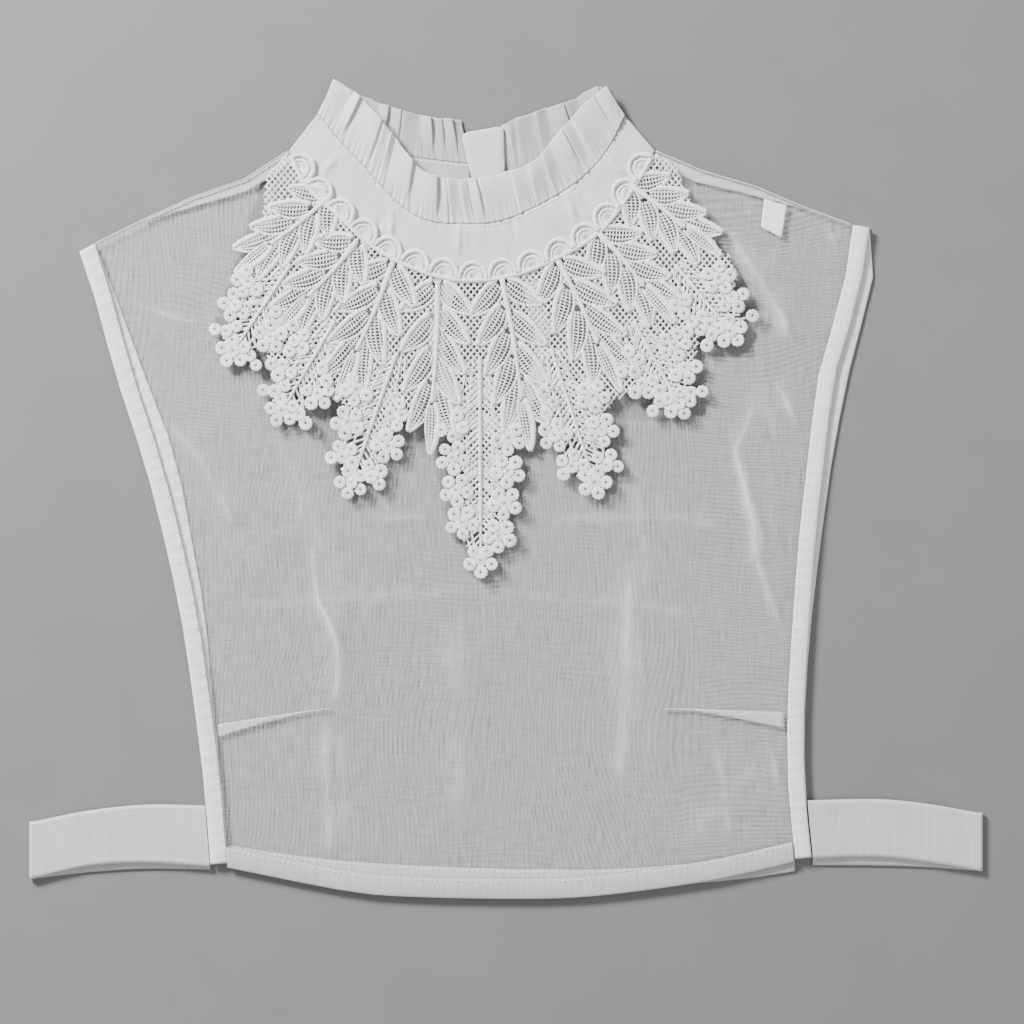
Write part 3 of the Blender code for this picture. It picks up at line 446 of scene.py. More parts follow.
# %% Folds and creases
FRONT_FOLDS = (
    (((140, 108), (152, 40)), 16.0, 1.3),
    (((122, 24), (140, -60)), 18.0, 1.4),
    (((-148, 30), (-122, -40)), 18.0, 1.2),
    (((-84, -50), (-86, -108)), 14.0, 1.3),
    (((70, -22), (120, -18)), 14.0, 0.8),
    (((60, -60), (76, -178)), 18.0, 1.1),
    (((-20, -90), (-34, -180)), 20.0, 1.0),
    (((-112, -130), (-70, -182)), 16.0, 1.0),
)
FRONT_CREASES = (
    (((-102, -3), (-103.5, -18)), 2.0, 0.5),
    (((-96, -25), (-95, -53), (-86, -75), (-83.5, -90), (-87.5, -107)), 2.6, 0.9),
    (((-88, -112), (-91, -140), (-87.5, -184)), 4.5, 0.45),
    (((-152, -23), (-95, -17), (-40, -19), (-20, -23)), 5.0, -0.4),
    (((-70, -14), (-38, -15)), 3.0, 0.35),
    (((17, -16), (60, -14), (110, -18)), 4.5, 0.22),
    (((61.5, -33), (59, -90), (56.5, -150)), 4.5, 0.5),
    (((66, -60), (66, -118)), 3.0, 0.3),
    (((116.5, 20), (126.5, -40), (142.5, -83)), 3.6, 0.8),
    (((131, -123), (136, -150), (141.5, -172)), 4.0, 0.8),
    (((110, 131), (135, 89), (140, 74)), 4.5, 0.8),
    (((133, 56), (142, 38), (151.5, 18)), 3.6, 0.6),
    (((125, 46), (116.5, 24.5), (115, 13), (126.5, -22), (125, -35)), 2.6, 0.8),
    (((81.5, 34), (90, 8), (98, -14)), 4.0, -0.5),
    (((158, 134), (168, 114)), 3.0, 0.5),
    (((-190, 96), (-160, 84), (-132, 90)), 3.6, 0.35),
    (((-176, 40), (-150, 10), (-136, -20)), 4.0, 0.45),
    (((-150, -100), (-140, -140)), 3.2, 0.4),
    (((104, -120), (112, -176)), 4.0, 0.35),
    (((60, -28), (62, -90), (58, -160)), 15.0, 0.26),
    (((84, -184), (104, -160), (128, -134)), 17.0, 0.26),
    (((-26, -56), (-22, -120), (-26, -180)), 12.0, 0.14),
    (((-84, -118), (-82, -182)), 12.0, 0.2),
    (((118, 60), (132, 0), (136, -60)), 14.0, 0.16),
)
BACK_CREASES = (
    (((-120, 40), (-90, -40), (-84, -120)), 5.0, 0.25),
    (((60, 30), (72, -60), (70, -150)), 5.0, 0.25),
    (((-140, -60), (-20, -52), (120, -64)), 5.0, 0.22),
    (((120, 90), (136, 20)), 5.0, 0.22),
    (((-30, -60), (-24, -170)), 6.0, 0.2),
)
print("creases:", len(FRONT_CREASES), "on the front,", len(BACK_CREASES), "on the back")

# %% Ripples, creases and folds over a plan
CREASE_STEP = 2.2
CREASE_WANDER = 1.3
CREASE_END = 0.15


def ripple(plan, size, shift):
    """Soft noise over plan points, about -1 to 1."""
    return np.array([noise.noise(Vector((x / size[0], y / size[1], shift))) for x, y in plan])


def line_distance(plan, line):
    """Distance from points to a line of points, and how far along it they lie, 0 to 1."""
    line = np.asarray(line, float)
    best = np.full(len(plan), np.inf)
    share = np.zeros(len(plan))
    lengths = np.linalg.norm(np.diff(line, axis=0), axis=1)
    start = np.concatenate([[0.0], np.cumsum(lengths)])
    for a, b, before, length in zip(line[:-1], line[1:], start, lengths):
        t = np.clip(((plan - a) @ (b - a)) / length ** 2, 0.0, 1.0)
        distance = np.linalg.norm(plan - a - t[:, None] * (b - a), axis=1)
        closer = distance < best
        best[closer] = distance[closer]
        share[closer] = ((before + t * length) / start[-1])[closer]
    return best, share


def crease_path(line, half):
    """A crease's line, a little unsteady, as a press leaves it."""
    path = (smooth if len(line) > 2 else even)(line, step=CREASE_STEP)
    wander = [ripple(path, (11.0, 11.0), half), ripple(path, (13.0, 13.0), half + 5)]
    return path + np.column_stack(wander) * CREASE_WANDER


def crease_height(plan, creases):
    """Height and sharpness of creases over plan points; each fades at its ends and sides."""
    height = np.zeros(len(plan))
    mark = np.zeros(len(plan))
    for line, half, rise in creases:
        distance, share = line_distance(plan, crease_path(line, half))
        ends = fade(share / CREASE_END) * fade((1 - share) / CREASE_END)
        ends = ends * (0.7 + 0.3 * np.sin(share * 11.0 + half))
        height += rise * np.exp(-(distance / half) ** 2 * 1.6) * ends
        mark += max(rise, 0.0) * np.exp(-distance / half * 2.2) * ends
    return height, mark


def fold_height(plan, folds):
    """Height of the broad folds over plan points."""
    total = np.zeros(len(plan))
    for line, half, rise in folds:
        distance, _ = line_distance(plan, np.array(line, float))
        total += rise * fade(1 - distance / half)
    return total


# %% [markdown]
# ### Filling an outline
# The cut edge keeps its own points. Staggered rows of points fill the inside, and
# closer rows follow each crease. Delaunay triangles join them all, because they
# stay even where the rows meet.

# %% Fill a cut outline with points
CREASE_ROWS = (-2.4, -1.2, 0.0, 1.2, 2.4)  # rows of points beside a crease
RIM_ROOM = 0.62  # least distance to the rim, in steps


def inside(plan, outline):
    """Say which plan points lie inside a closed outline."""
    x, y = plan[:, 0], plan[:, 1]
    result = np.zeros(len(plan), dtype=bool)
    for (x0, y0), (x1, y1) in zip(outline, np.roll(outline, -1, axis=0)):
        if y0 != y1:
            crosses = (y0 > y) != (y1 > y)
            result ^= crosses & (x < (x1 - x0) * (y - y0) / (y1 - y0) + x0)
    return result


def fill_plan(outline, step, creases=()):
    """Fill a closed outline with points, closer along its creases; return them and triangles."""
    outline = even(np.vstack([outline, outline[:1]]), step=step)[:-1]
    low, high = outline.min(axis=0), outline.max(axis=0)
    xs, ys = np.meshgrid(np.arange(low[0], high[0], step), np.arange(low[1], high[1], step))
    xs[1::2] += step / 2
    plan = np.column_stack([xs.ravel(), ys.ravel()])
    plan = plan[inside(plan, outline)]
    clear = np.ones(len(plan), dtype=bool)
    for point in outline:
        clear &= ((plan - point) ** 2).sum(axis=1) > (RIM_ROOM * step) ** 2
    plan = plan[clear]
    for line, half, _ in creases:
        path = crease_path(line, half)
        side = unit(np.column_stack([-np.gradient(path[:, 1]), np.gradient(path[:, 0])]))
        rows = np.vstack([path + side * offset for offset in CREASE_ROWS])
        rows = rows[inside(rows, outline)]
        rows = rows[[((outline - row) ** 2).sum(axis=1).min() > 1.5 for row in rows]]
        far = np.min(((plan[:, None] - rows[None]) ** 2).sum(axis=2), axis=1) > 1.0
        plan = np.vstack([plan[far], rows])
    plan = np.vstack([outline, plan])
    ring = [(i, (i + 1) % len(outline)) for i in range(len(outline))]
    result = delaunay_2d_cdt([Vector(p) for p in plan], ring, [], 1, 1e-5)
    points = np.array([(p.x, p.y) for p in result[0]])
    return points, np.array([tuple(face) for face in result[2]])


def boundary(faces):
    """Return the boundary of a set of triangles, in order."""
    edges = {}
    seen = {tuple(edge) for f in faces for edge in ((f[0], f[1]), (f[1], f[2]), (f[2], f[0]))}
    for a, b in seen:
        if (b, a) not in seen:
            edges[a] = b
    start = next(iter(edges))
    loop = [start]
    while edges[loop[-1]] != start:
        loop.append(edges[loop[-1]])
    return np.array(loop)


def flat_shell(name, plan, faces, z, wall, material, node):
    """Make a thin wall of cloth on a filled outline."""
    top, bottom = (np.column_stack([plan, z + half]) for half in (wall / 2, -wall / 2))
    return close_shell(name, top, bottom, faces, boundary(faces), material, (node,))


# %% [markdown]
# ### Making the panels
# Folds and creases add up to one height for each point, which fades to nothing at
# the bound edge. Three values go with the points for the finish to read: how sharp
# a crease is, together with a painted shade under the lace on the front, which waves
# show, and how far they are bent.

# %% Panels
LACE_AREA = (
    (-121, 157), (-138, 104), (-146, 82), (-138, 58), (-122, 60), (-116, 28), (-96, 36),
    (-86, 6), (-76, -8), (-66, 10), (-48, 22), (-36, 12), (-28, -22), (-13, -44), (2, -22),
    (12, 16), (28, 22), (40, -2), (54, -2), (60, 34), (84, 34), (100, 38), (98, 66),
    (122, 68), (126, 88), (112, 116), (98, 136), (76, 166), (42, 126), (-22, 104), (-90, 142),
)
LACE_CENTRE = np.array((-13.0, 95.0))
LACE_PAINTED_SHADE = 0.4  # painted shade: the front chiffon is made clearer under the lace, so the lace's holes read dark
CHIFFON_WALL = 0.25
EDGE_FADE = 14.0  # folds die away over this width at the rim
MOIRE_BEND = 17.0
MOIRE_SPREAD, MOIRE_EYE = 12.0, 30.0  # push away from the lace, and where it starts


def add_panel(layer, level, folds, creases, rest, material, step):
    """Make one sheer panel on its solid's outline."""
    plan, faces = fill_plan(rim(f"{layer}_panel")[:, :2], step, creases)
    gap = np.full(len(plan), np.inf)
    for point in plan[boundary(faces)]:
        gap = np.minimum(gap, ((plan - point) ** 2).sum(axis=1))
    inner = fade(np.sqrt(gap) / EDGE_FADE)
    sharp, mark = crease_height(plan, creases)
    height = fold_height(plan, folds) + sharp
    height += (ripple(plan, (24.0, 34.0), level) * rest
               + ripple(plan, (9.0, 60.0), level + 7) * rest * 0.6)
    piece = flat_shell(f"{layer}_panel_cloth", plan, faces, level + height * inner,
                       CHIFFON_WALL, material, f"{layer}_panel")
    crease = mark * inner
    if layer == "front":
        # painted shade: under the lace the crease value drops, which makes the chiffon clearer
        # there
        crease = crease - LACE_PAINTED_SHADE * inside(plan, np.array(LACE_AREA, float))
    drift = (0.30 + 0.5 * ripple(plan, (60.0, 52.0), 3.1 + level)
             + 0.6 * fade((plan[:, 0] - 80.0) / 25.0))
    for key, values in (("crease", crease), ("drift", drift)):
        set_values(piece.data, key, np.concatenate([values, values]))
    bend = [ripple(plan, (64.0, 84.0), level), ripple(plan, (84.0, 50.0), level + 4),
            np.zeros(len(plan))]
    warp = np.column_stack(bend) * MOIRE_BEND
    radial = plan - LACE_CENTRE
    distance = np.maximum(np.linalg.norm(radial, axis=1), MOIRE_EYE)
    warp[:, :2] += radial * (MOIRE_SPREAD / distance)[:, None]
    field = piece.data.attributes.new("warp", 'FLOAT_VECTOR', 'POINT').data
    field.foreach_set("vector", (np.vstack([warp, warp]) * MM).ravel())
    print(piece.name, len(plan), "points")
    return piece


back_panel = add_panel("back", 0.5, (), BACK_CREASES, 0.12, CHIFFON_BACK, 3.0)
front_panel = add_panel("front", 2.9, FRONT_FOLDS, FRONT_CREASES, 0.28, CHIFFON_FRONT, 2.3)

# %% [markdown]
# ## Pieces between the panels
# The darts' intakes, the pressed seam allowances and a bare tab lie between the two
# layers and shine through the front one. They are dense because cloth is doubled
# there.

# %% Darts
BETWEEN = 1.7  # height of what lies between the panels


def add_dart(side):
    """Make one dart's folded intake on its solid's outline."""
    node = f"dart_{side}"
    plan, faces = fill_plan(rim(node)[:, :2], 1.2)
    z = BETWEEN + ripple(plan, (7.0, 5.0), BETWEEN) * 0.08
    return flat_shell(f"{node}_cloth", plan, faces, z, 0.5, ALLOWANCE, node)


inside_pieces = [add_dart("left"), add_dart("right")]
print("darts:", len(inside_pieces))

# %% [markdown]
# ### Shoulders
# At each shoulder the front panel's edge is folded under, which shows as a fine
# cord of cloth. The allowance below it is a little wider towards the neck. The tab
# is sewn into the right seam, and it stays bare.

# %% Folded edges of the shoulders
SHOULDERS = (((-192.0, 121.5), (-112.0, 162.0)), ((160.0, 127.0), (78.0, 166.0)))


def shoulder_edge(ends):
    """Part of the front panel's outline between two rough places."""
    loop = rim("front_panel")[:, :2]
    low, high = sorted(int(np.argmin(np.linalg.norm(loop - end, axis=1))) for end in ends)
    return min((loop[low:high + 1], np.vstack([loop[high:], loop[:low + 1]])), key=len)


edge_cords = Cords()
for ends in SHOULDERS:
    line = even(shoulder_edge(ends), step=1.5)
    edge_cords.add(lift(line, 2.95), 0.42, 6, 0.8, rough=0.1)
shoulder_folds = edge_cords.piece("shoulder_folds", ALLOWANCE, "chiffon")

# %% Tab and seam allowances
TAB = ((128.6, 145.0), (140.0, 141.6), (137.4, 125.5), (127.0, 131.0))
ALLOWANCES = {
    "left": (((-178.0, 128.0), (-112.0, 162.0)), (0.9, 4.8, 6.0, 6.6)),
    "right": (((154.0, 131.0), (78.0, 166.0)), (6.6, 6.0, 4.6, 0.9)),
}


def add_tab():
    """Make the small bare tab that hangs from the right shoulder seam."""
    corners = np.array(TAB)
    plan, faces = fill_plan(even(np.vstack([corners, corners[:1]]), step=0.9)[:-1], 0.9)
    z = 2.2 + 0.06 * ripple(plan, (6.0, 8.0), 6.0)
    return flat_shell("seam_tab_cloth", plan, faces, z, 0.28, TAPE, "seam_tab")


def add_allowance(side):
    """Make the pressed seam allowance that lies along one shoulder, between the panels."""
    ends, widths = ALLOWANCES[side]
    line = even(shoulder_edge(ends), step=1.6)
    if line[0, 0] > line[-1, 0]:
        line = line[::-1]
    way = unit(np.gradient(line, axis=0))
    inward = np.column_stack([way[:, 1], -way[:, 0]])
    width = np.interp(np.linspace(0, 1, len(line)), np.linspace(0, 1, len(widths)), widths)
    width = width + ripple(line, (6.0, 6.0), 1.0) * 0.5
    across = np.linspace(0.08, 1.0, 6)[:, None, None]
    plan = line[None] + inward[None] * across * width[:, None]
    z = BETWEEN + 0.12 * ripple(plan.reshape(-1, 2), (8.0, 5.0), 2.0).reshape(plan.shape[:2])
    grid = np.concatenate([plan, z[..., None]], axis=2)
    node = f"shoulder_seam_{side}"
    return shell(f"{node}_cloth", grid, 0.4, ALLOWANCE, (node,))


inside_pieces += [add_tab(), add_allowance("left"), add_allowance("right")]
print("pieces between the panels:", len(inside_pieces))

# %% [markdown]
# ## Bindings, hems and their stitches
# A binding is a strip folded over the raw edge, so it is thicker than the panel and
# rounded along its fold. The stitches pull it down in a row of small dimples. They
# are one stitch repeated along a line by geometry nodes: the pitch, length and
# thickness are inputs, so a whole row changes at once.


# %% Folded strips
STRIP_STEP = 1.3
STITCH_INSET = 1.3  # from the strip's inner edge
DIMPLE, SLACK = 0.32, 6.0  # depth at a stitch, width of a pucker


def add_strip(node, level, wall, crown, pucker, pitch, seed, material):
    """Make a folded strip on its solid's edges, and return it with its line of stitches."""
    outer, inner = long_sides(node)
    length = np.linalg.norm(np.diff(outer, axis=0), axis=1).sum()
    count = int(length / STRIP_STEP)
    outer, inner = even(outer, count=count), even(inner, count=count)
    width = float(np.median(np.linalg.norm(inner - outer, axis=1)))
    seam = 1.0 - STITCH_INSET / width
    angle = np.linspace(0.0, 2 * math.pi, 22, endpoint=False)
    across = 0.5 - 0.5 * np.sign(np.cos(angle)) * np.abs(np.cos(angle)) ** 0.45
    up = np.sign(np.sin(angle)) * np.abs(np.sin(angle)) ** 0.55
    along = np.linspace(0.0, length, count)
    drift = np.array([noise.noise(Vector((s / 11.0, seed, 0.0))) for s in along])
    wave = np.sin(2 * math.pi * along / pitch + 3.0 * drift)

    def top_height(share):
        dimple = np.exp(-((share - seam) * width / 1.0) ** 2)
        puff = crown * np.sin(math.pi * share) ** 0.7
        slack = np.exp(-((share - seam) * width / SLACK) ** 2)
        swell = pucker * (0.5 + 0.5 * wave[:, None]) * slack * (1.2 + drift[:, None])
        return puff - DIMPLE * dimple + swell

    plan = outer[:, None] + (inner - outer)[:, None] * across[None, :, None]
    z = level + wall / 2 + up * wall / 2 + top_height(across[None]) * np.clip(up, 0.0, 1.0)
    points = np.concatenate([plan, z[..., None]], axis=2)
    faces = tube_faces(np.arange(points[..., 0].size).reshape(count, -1))
    sideways = points[0, 0] - points[0, len(angle) // 2]
    if np.cross(points[1, 0] - points[0, 0], sideways)[2] > 0:
        faces = [face[::-1] for face in faces]
    strip = add_piece(f"{node}_strip", points.reshape(-1, 3), faces, material, (node,))
    height = level + wall + top_height(np.full((1, 1), seam))[:, 0]
    return strip, np.column_stack([outer + (inner - outer) * seam, height])


# %% [markdown]
# ### Stitches
# Both repeats in this file, stitches and berries, use the same few nodes at their
# end: copies on points, made real, and painted. Only what is copied, and how it is
# turned and sized, differs. A stitch is a small round stretched along the line.

# %% Repeats by geometry nodes
def repeat_tree(name, inputs):
    """Start nodes that copy a shape to points; return them, their inputs and the copies."""
    tree = bpy.data.node_groups.new(name, 'GeometryNodeTree')
    face = tree.interface
    face.new_socket("Geometry", in_out='INPUT', socket_type='NodeSocketGeometry')
    for label, value in inputs:
        kind = 'NodeSocketInt' if isinstance(value, int) else 'NodeSocketFloat'
        face.new_socket(label, in_out='INPUT', socket_type=kind).default_value = value
    face.new_socket("Thread", in_out='INPUT', socket_type='NodeSocketMaterial')
    face.new_socket("Geometry", in_out='OUTPUT', socket_type='NodeSocketGeometry')
    node, link = tree.nodes.new, tree.links.new
    source, result = node('NodeGroupInput'), node('NodeGroupOutput')
    placed = node('GeometryNodeInstanceOnPoints')
    real = node('GeometryNodeRealizeInstances')
    paint = node('GeometryNodeSetMaterial')
    link(placed.outputs[0], real.inputs[0])
    link(real.outputs[0], paint.inputs["Geometry"])
    link(source.outputs["Thread"], paint.inputs["Material"])
    link(paint.outputs[0], result.inputs[0])
    return tree, source.outputs, placed.inputs


def run_tree(piece, tree, values):
    """Give a piece the nodes' result as a plain mesh."""
    modifier = piece.modifiers.new(tree.name, 'NODES')
    modifier.node_group = tree
    for item in tree.interface.items_tree:
        if item.in_out == 'INPUT' and item.name in values:
            modifier[item.identifier] = values[item.name]
    depsgraph = bpy.context.evaluated_depsgraph_get()
    mesh = bpy.data.meshes.new_from_object(piece.evaluated_get(depsgraph))
    piece.modifiers.remove(modifier)
    piece.data = mesh
    soften(mesh)
    print(piece.name, len(mesh.polygons), "faces")


# %% One stitch after another
def stitch_tree():
    """Geometry nodes that lay one stitch after another along every line of a mesh."""
    tree, source, placed = repeat_tree("stitch row", (("Pitch", 0.0026), ("Length", 0.0019),
                                                      ("Thickness", 0.0005)))
    node, link = tree.nodes.new, tree.links.new
    curve = node('GeometryNodeMeshToCurve')
    spaced = node('GeometryNodeResampleCurve')
    spaced.mode = 'LENGTH'
    bead = node('GeometryNodeMeshUVSphere')
    for label, value in (("Segments", 8), ("Rings", 5), ("Radius", 0.5)):
        bead.inputs[label].default_value = value
    size = node('ShaderNodeCombineXYZ')
    turn = node('FunctionNodeAlignRotationToVector')
    turn.axis = 'X'
    link(source["Geometry"], curve.inputs[0])
    link(curve.outputs[0], spaced.inputs["Curve"])
    link(source["Pitch"], spaced.inputs["Length"])
    link(spaced.outputs[0], placed["Points"])
    link(bead.outputs[0], placed["Instance"])
    link(node('GeometryNodeInputTangent').outputs[0], turn.inputs["Vector"])
    link(turn.outputs[0], placed["Rotation"])
    for side, label in (("X", "Length"), ("Y", "Thickness"), ("Z", "Thickness")):
        link(source[label], size.inputs[side])
    link(size.outputs[0], placed["Scale"])
    return tree


STITCH_TREE = stitch_tree()


def add_stitches(name, lines, pitch=2.6, length=1.9, thickness=0.5):
    """Sew rows of stitches along lines of points."""
    edges = []
    first = 0
    for line in lines:
        edges += [(first + i, first + i + 1) for i in range(len(line) - 1)]
        first += len(line)
    mesh = bpy.data.meshes.new(name)
    mesh.from_pydata((np.vstack(lines) * MM).tolist(), edges, [])
    piece = add_object(name, mesh)
    run_tree(piece, STITCH_TREE, {"Pitch": pitch * MM, "Length": length * MM,
                                  "Thickness": thickness * MM, "Thread": SEWING_THREAD})
    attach(piece, "root")
    return piece


# %% Sew the edges of both panels
STRIPS = (  # part, wall, crown, pucker and its pitch, seed, cloth
    ("binding_left", 1.3, 0.25, 0.26, 7.0, 7.0, BINDING),
    ("binding_right", 1.3, 0.25, 0.26, 6.4, 6.4, BINDING),
    ("hem", 1.3, 0.12, 0.38, 3.6, 3.6, HEM),
    ("drop_binding", 1.0, 0.1, 0.08, 4.0, 2.0, BINDING),
)
for layer, level in (("back", 0.0), ("front", 2.4)):
    pieces, lines = [], []
    for part, wall, crown, pucker, pitch, seed, material in STRIPS:
        strip, line = add_strip(f"{layer}_{part}", level, wall, crown, pucker, pitch,
                                level + seed, material)
        pieces.append(strip)
        lines.append(line[1:-1])
    add_stitches(f"{layer}_stitches", lines)

# %% [markdown]
# ## Side elastics
# Each strap is one loop of ribbed elastic, folded at its outer end. The ribs run
# across it, a little over a millimetre apart, and are part of the surface because
# they show in the outline of its edge.

# %% Ribbed straps
# Stations along each strap: x, upper edge, lower edge, and how far the lower layer drops.
ELASTICS = {
    "left": ((-151.2, -158.2, -189.0, 1.4), (-180.0, -157.8, -187.0, 3.0),
             (-208.0, -160.6, -188.4, 3.2), (-237.6, -166.4, -195.0, 0.0)),
    "right": ((152.9, -155.6, -184.8, 3.4), (185.0, -155.0, -184.0, 4.4),
              (210.0, -157.4, -186.6, 2.6), (236.6, -162.0, -191.0, 0.0)),
}
RIB_PITCH, RIB_HEIGHT = 1.25, 0.06
RIB_STEP = RIB_PITCH / 5
STRAP_LEVELS = (0.6, 2.5)
STRAP_CLEARANCE = 0.45  # from the binding
STRAP_BEND = 22.0  # the length over which a strap follows the binding's curve


def binding_edge(side, ys):
    """Outer edge of a side's two bindings at those heights, in millimetres from the middle."""
    sign = 1.0 if side == "right" else -1.0
    edges = []
    for layer in ("front", "back"):
        outer = long_sides(f"{layer}_binding_{side}")[0]
        outer = outer[np.argsort(outer[:, 1])]
        edges.append(sign * np.interp(ys, outer[:, 1], outer[:, 0]))
    return sign * np.max(edges, axis=0)


def add_elastic(side):
    """Make one strap: lower layer, fold and upper layer."""
    stations = smooth(ELASTICS[side], step=RIB_STEP)
    rows = []
    outward = 1.0 if side == "right" else -1.0
    low, high = STRAP_LEVELS
    share = np.linspace(0.0, 1.0, 15)
    edge = np.minimum(share, 1 - share)
    start = stations[0, 0]
    sag = ripple(stations[:, :2], (16.0, 16.0), 3.0) * 0.3

    def section(x, upper, lower, z, along):
        rib = RIB_HEIGHT * math.sin(2 * math.pi * along / RIB_PITCH)
        y = upper + (lower - upper) * share
        near = 1 - fade(abs(x - start) / STRAP_BEND)
        shift = (binding_edge(side, y) + outward * STRAP_CLEARANCE - start) * near
        return np.column_stack([x + shift, y, z + rib + 0.06 * np.exp(-(edge / 0.05) ** 2)])

    travelled = 0.0
    for x, upper, lower, drop in stations:
        rows.append(section(x, upper - drop, lower - drop, low, travelled))
        travelled += RIB_STEP
    x, upper, lower, _ = stations[-1]
    bend = (high - low) / 2
    for angle in np.linspace(0.0, math.pi, 9)[1:-1]:
        rows.append(section(x + outward * bend * math.sin(angle), upper, lower,
                            low + bend * (1 - math.cos(angle)), 0.0))
    travelled = 0.0
    for (x, upper, lower, _), give in zip(stations[::-1], sag[::-1]):
        rows.append(section(x, upper, lower, high + give, travelled))
        travelled += RIB_STEP
    node = f"side_elastic_{side}"
    return shell(f"{node}_strap", np.array(rows), 0.7, ELASTIC, (node,))


elastics = [add_elastic("left"), add_elastic("right")]
print("straps:", [piece.name for piece in elastics])

# %% [markdown]
# ## Stand collar, ruffle and closure
# The stand is a band of doubled cloth. The ruffle is one strip, gathered where it
# is sewn to the stand and free at its other edge, so its folds start narrow and
# open outwards. Each fold leans a little, as gathered cloth does, because a plain
# sine wave looks like corrugated iron.

# %% Tables of the collar
# Columns: foot of the stand, seam of the ruffle, ruffle's free edge, height of that edge.
COLLAR_FRONT = (
    ((-109.0, 169.0), (-94.5, 187.5), (-87.0, 204.6), 4.8),
    ((-100.0, 152.0), (-83.0, 173.5), (-74.0, 196.5), 6.4),
    ((-84.5, 137.5), (-69.0, 158.5), (-57.5, 178.0), 6.6),
    ((-67.0, 121.8), (-53.0, 141.5), (-44.5, 161.0), 6.4),
    ((-46.0, 110.5), (-39.0, 133.8), (-34.5, 156.0), 6.0),
    ((-24.0, 105.0), (-22.0, 132.4), (-18.5, 155.0), 6.0),
    ((-3.0, 106.0), (-5.0, 133.4), (-2.0, 158.0), 6.0),
    ((18.0, 112.5), (11.5, 139.5), (13.5, 163.5), 6.4),
    ((44.0, 127.0), (34.0, 152.5), (27.0, 179.5), 6.6),
    ((60.0, 146.0), (49.0, 167.5), (38.5, 191.5), 6.4),
    ((74.0, 169.0), (59.0, 186.5), (50.0, 201.4), 4.8),
)
COLLAR_BACK_LEFT = (
    ((-108.4, 168.2), (-94.5, 186.8), (-86.0, 202.0), 0.3),
    ((-90.0, 153.0), (-72.0, 173.0), (-67.0, 194.5), 0.4),
    ((-66.0, 144.0), (-50.5, 167.0), (-52.5, 189.5), 1.3),
    ((-42.0, 139.5), (-37.0, 164.6), (-40.0, 186.4), 1.8),
    ((-18.6, 137.5), (-18.4, 162.5), (-23.4, 184.8), 1.6),
)
COLLAR_BACK_RIGHT = (
    ((-2.2, 134.8), (-2.2, 158.7), (-2.4, 182.2), 1.6),
    ((14.0, 137.5), (12.0, 161.0), (15.0, 189.0), 1.8),
    ((36.0, 144.5), (31.0, 168.5), (33.5, 195.0), 1.2),
    ((56.0, 155.5), (47.0, 177.5), (43.0, 200.8), 0.4),
    ((73.4, 168.2), (59.0, 185.8), (50.5, 200.4), 0.3),
)
STAND_CREASES = (
    (((-57.5, 141), (-58.5, 122)), 1.7, 0.9),
    (((-62.0, 138), (-66.5, 126)), 2.2, -0.6),
    (((29.5, 149), (35.5, 132)), 1.8, 0.9),
    (((34.5, 153), (42.0, 140)), 2.4, -0.6),
    (((-24.5, 132), (-24.5, 115)), 1.5, 0.75),
    (((-19.0, 132), (-17.0, 118)), 2.0, -0.5),
    (((-84, 168), (-92, 156)), 2.2, 0.7),
    (((50, 164), (62, 154)), 2.2, 0.7),
    (((2.0, 136), (4.0, 124)), 2.6, -0.5),
)


def collar_lines(table, count):
    """Smooth lines along the foot, the ruffle's seam, its free edge and the last column."""
    columns = [smooth([row[c] for row in table], count=count) for c in range(3)]
    last = smooth([(i, row[3]) for i, row in enumerate(table)], count=count)[:, 1]
    return *columns, last


# %% [markdown]
# ### The stand
# The band is doubled cloth and stands against the neck, so laid down it puckers
# along its seams and keeps a few short creases. A row of stitches holds the ruffle
# and presses a groove into it.

# %% The stand
# Columns, unevenness, tucks at the ruffle's seam, depth of the stitched groove.
STAND_FRONT = (290, 0.3, 0.10, 0.34)
STAND_BACK = (90, 0.05, 0.04, 0.05)
STAND_WALL = 0.9
STITCH_ROW = 20  # of the 22 rows


def add_stand(node, table, front, seed):
    """Make one stretch of the stand, and return it with its line of stitches."""
    count, uneven, tuck, groove = STAND_FRONT if front else STAND_BACK
    foot, seam, _, _ = collar_lines(table, count)
    across = np.linspace(0.0, 1.0, 22)
    plan = foot[None] + (seam - foot)[None] * across[:, None, None]
    flat = plan.reshape(-1, 2)
    columns = np.arange(count)
    ends = np.minimum(columns, columns[::-1]) / count
    level = 1.95 + 1.0 * fade(ends / 0.12) if front else np.full(count, 0.62)
    z = np.broadcast_to(level, (len(across), count)).copy()
    z += 0.45 * across[:, None] ** 2 if front else 0.0
    z += (0.22 * np.sin(math.pi * across) ** 0.6)[:, None] * fade(ends / 0.06)
    z += (ripple(flat, (13.0, 16.0), seed) * uneven).reshape(z.shape)
    if front:
        z += (crease_height(flat, STAND_CREASES)[0] * 1.3).reshape(z.shape)
    z += tuck * np.sin(columns * 0.7 + seed) * np.exp(-((1 - across) / 0.16) ** 2)[:, None]
    z -= groove * np.exp(-((across - 0.94) / 0.035) ** 2)[:, None]
    grid = np.concatenate([plan, z[..., None]], axis=2)
    # the back band takes the darker copy of the collar cloth, a painted shade
    piece = shell(f"{node}_band", grid, STAND_WALL, COLLAR if front else COLLAR_PAINTED_SHADE,
                  (node,))
    return piece, grid[STITCH_ROW] + np.array((0.0, 0.0, 0.50))


stands, stand_lines = [], []
for node, table, front, seed in (("stand_front", COLLAR_FRONT, True, 2.0),
                                 ("stand_back_left", COLLAR_BACK_LEFT, False, 5.0),
                                 ("stand_back_right", COLLAR_BACK_RIGHT, False, 8.0)):
    piece, line = add_stand(node, table, front, seed)
    stands.append(piece)
    stand_lines.append(line[2:-2])
stand_stitches = add_stitches("stand_stitches", stand_lines,
                              pitch=2.5, length=1.7, thickness=0.66)

# %% [markdown]
# ### The ruffle
# Every gather has a width, a height and a lean of its own, drawn at random from a
# fixed seed. Some folds run to the free edge and others end half way, and small
# pleats show only at the seam, where the thread pulls them tight.

